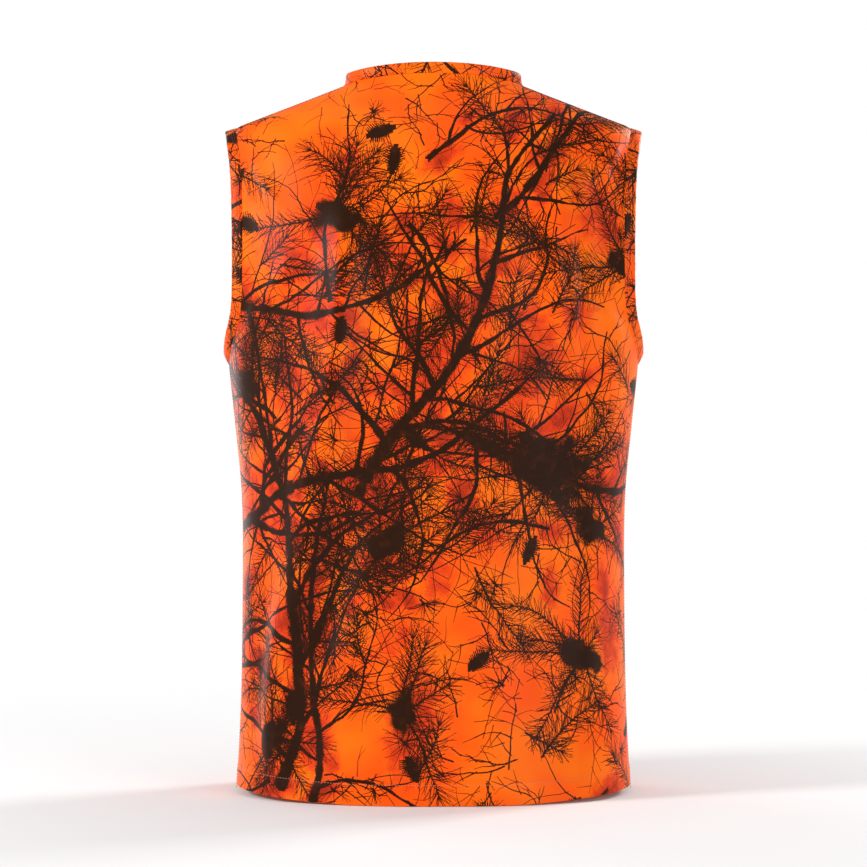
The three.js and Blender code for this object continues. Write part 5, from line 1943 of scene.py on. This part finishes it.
def turned(name: str, profile: Array, base: Array, axis: Array) -> bpy.types.Object:
    """Turns a profile of radii and heights about an axis.

    Args:
        name: The piece's name.
        profile: Pairs of radius and height, in metres; closed if its ends meet.
        base: The point that heights are from.
        axis: The direction of the heights.
    """
    side = unit(np.cross(axis, (0.0, 0.0, 1.0)))
    up = np.cross(axis, side)
    mesh = bmesh.new()
    count = 40
    rings = []
    for radius, height in profile:
        if radius == 0:
            rings.append([mesh.verts.new(base + axis * height)] * count)
            continue
        angles = np.arange(count) * 2 * np.pi / count
        ring = base + axis * height + radius * (
            np.cos(angles)[:, None] * side + np.sin(angles)[:, None] * up
        )
        rings.append([mesh.verts.new(point) for point in ring])
    for low, high in zip(rings, rings[1:]):
        for k in range(count):
            corners = [low[k], low[(k + 1) % count], high[(k + 1) % count], high[k]]
            mesh.faces.new(list(dict.fromkeys(corners)))
    bmesh.ops.remove_doubles(mesh, verts=mesh.verts, dist=1e-7)
    bmesh.ops.recalc_face_normals(mesh, faces=mesh.faces)
    data = bpy.data.meshes.new(name)
    mesh.to_mesh(data)
    mesh.free()
    data.polygons.foreach_set("use_smooth", np.ones(len(data.polygons), dtype=bool))
    data.set_sharp_from_angle(angle=math.radians(40))
    return add_object(name, data)


@dataclass
class HangerLoop:
    """The narrow loop inside the back of the neck."""

    finishes: Finishes
    half_width: float = 26.0
    drop: float = 20.0
    stand: float = 5.0
    inset: float = 5.1

    def build(self) -> None:
        """Makes the loop."""
        top = FORM.neck_point - 5.0
        angle = np.pi * np.linspace(0, 1, 81)
        down = np.sin(angle) ** 0.75
        depth = float(FORM.depth_of(BACK, np.array(self.half_width), np.array(top)))
        y = depth - self.inset + Y_SHIFT
        x = -self.half_width * np.cos(angle)
        points = np.stack((x, y - self.stand * down, top - 2 - self.drop * down), axis=-1) * MM
        tangent = tangents(points, False)
        out = unit(np.array((0.0, self.drop, -self.stand)))
        along = unit(np.cross(tangent, out))
        across = np.linspace(-2.5, 2.5, 5)[None, :, None] * MM
        outer = points[:, None] + along[:, None] * across + out * 0.5 * MM
        obj = shell_object("loop_tape", outer, outer - out * MM)
        self.finishes.dress(obj, "plain_cloth")
        seat(obj, outer, "hanger_loop", "hanger_loop")


# ---- Studio ----


@dataclass(frozen=True)
class Studio:
    """A pale floor, soft lights and the camera."""

    camera_distance: float = 2.7
    camera_height: float = 0.353
    lens: float = 112.9
    ambient: float = 0.34

    def build(self) -> None:
        """Sets the scene round the vest."""
        self.floor()
        self.world()
        bpy.context.scene.view_settings.view_transform = "Standard"
        self.light("key", (2.6, 1.2, 1.5), 0.7, 66.0)
        self.light("fill", (-1.9, 2.5, 0.9), 1.4, 30.0)
        self.light("front_key", (-2.3, -1.7, 1.6), 0.9, 62.0)
        self.light("front_fill", (2.0, -2.3, 0.9), 1.6, 26.0)
        self.light("top", (0.0, 0.2, 2.8), 1.6, 10.0)
        camera = bpy.data.cameras.new("camera")
        camera.lens = self.lens
        camera.sensor_width = 36.0
        holder = add_object("camera", camera)
        holder.location = (0.0, self.camera_distance, self.camera_height)
        holder.rotation_euler = (math.pi / 2, 0.0, math.pi)
        bpy.context.scene.camera = holder

    def floor(self) -> None:
        """Lays the floor, which fades into the backdrop away from the vest."""
        bpy.ops.mesh.primitive_circle_add(vertices=96, radius=30.0, fill_type="NGON")
        floor = bpy.context.object
        floor.name = "floor"
        floor.location.z = -0.0006
        material, sheet, shader = new_material("pale floor")
        sheet.fill(shader, Base_Color=(0.86, 0.86, 0.86, 1.0), Roughness=0.9)
        place = sheet.add("ShaderNodeTexCoord").outputs["Object"]
        away = sheet.add("ShaderNodeVectorMath", operation="LENGTH")
        sheet.feed(away.inputs[0], place)
        glow = sheet.fill(sheet.add("ShaderNodeEmission"), Color=(1.0, 1.0, 1.0, 1.0), Strength=1.0)
        join = sheet.add("ShaderNodeMixShader")
        fade = sheet.ramp(away.outputs["Value"], 0.35, 1.3)
        for socket, value in zip(join.inputs, (fade, shader.outputs[0], glow.outputs[0])):
            sheet.feed(socket, value)
        out = material.node_tree.nodes["Material Output"]
        sheet.feed(out.inputs["Surface"], join.outputs[0])
        floor.data.materials.append(material)

    def world(self) -> None:
        """Lights the backdrop evenly."""
        world = bpy.data.worlds.new("studio")
        world.use_nodes = True
        sheet = NodeSheet(world.node_tree)
        seen = sheet.add("ShaderNodeLightPath").outputs["Is Camera Ray"]
        strength = sheet.math("MULTIPLY_ADD", seen, 1.0 - self.ambient, self.ambient)
        sheet.fill(world.node_tree.nodes["Background"], Color=(1.0, 1.0, 1.0, 1.0), Strength=strength)
        bpy.context.scene.world = world

    def light(self, name: str, place: tuple[float, float, float], size: float, power: float) -> None:
        """Hangs a square soft light that faces the vest."""
        data = bpy.data.lights.new(name, "AREA")
        data.size = size
        data.energy = power
        lamp = add_object(name, data)
        lamp.location = place
        aim = Vector((0.0, 0.0, 0.35)) - Vector(place)
        lamp.rotation_euler = aim.to_track_quat("-Z", "Y").to_euler()


def main() -> None:
    """Builds the vest and its studio."""
    finishes = Finishes()
    sewing = Sewing(finishes)
    for part in (
        Shell(finishes, sewing),
        Inside(finishes, sewing),
        Zip(finishes, sewing),
        Pockets(finishes, sewing),
        HangerLoop(finishes),
        Studio(),
    ):
        part.build()
        LOG.info("built %s", type(part).__name__)


if __name__ == "__main__":
    logging.basicConfig(level=logging.INFO)
    main()
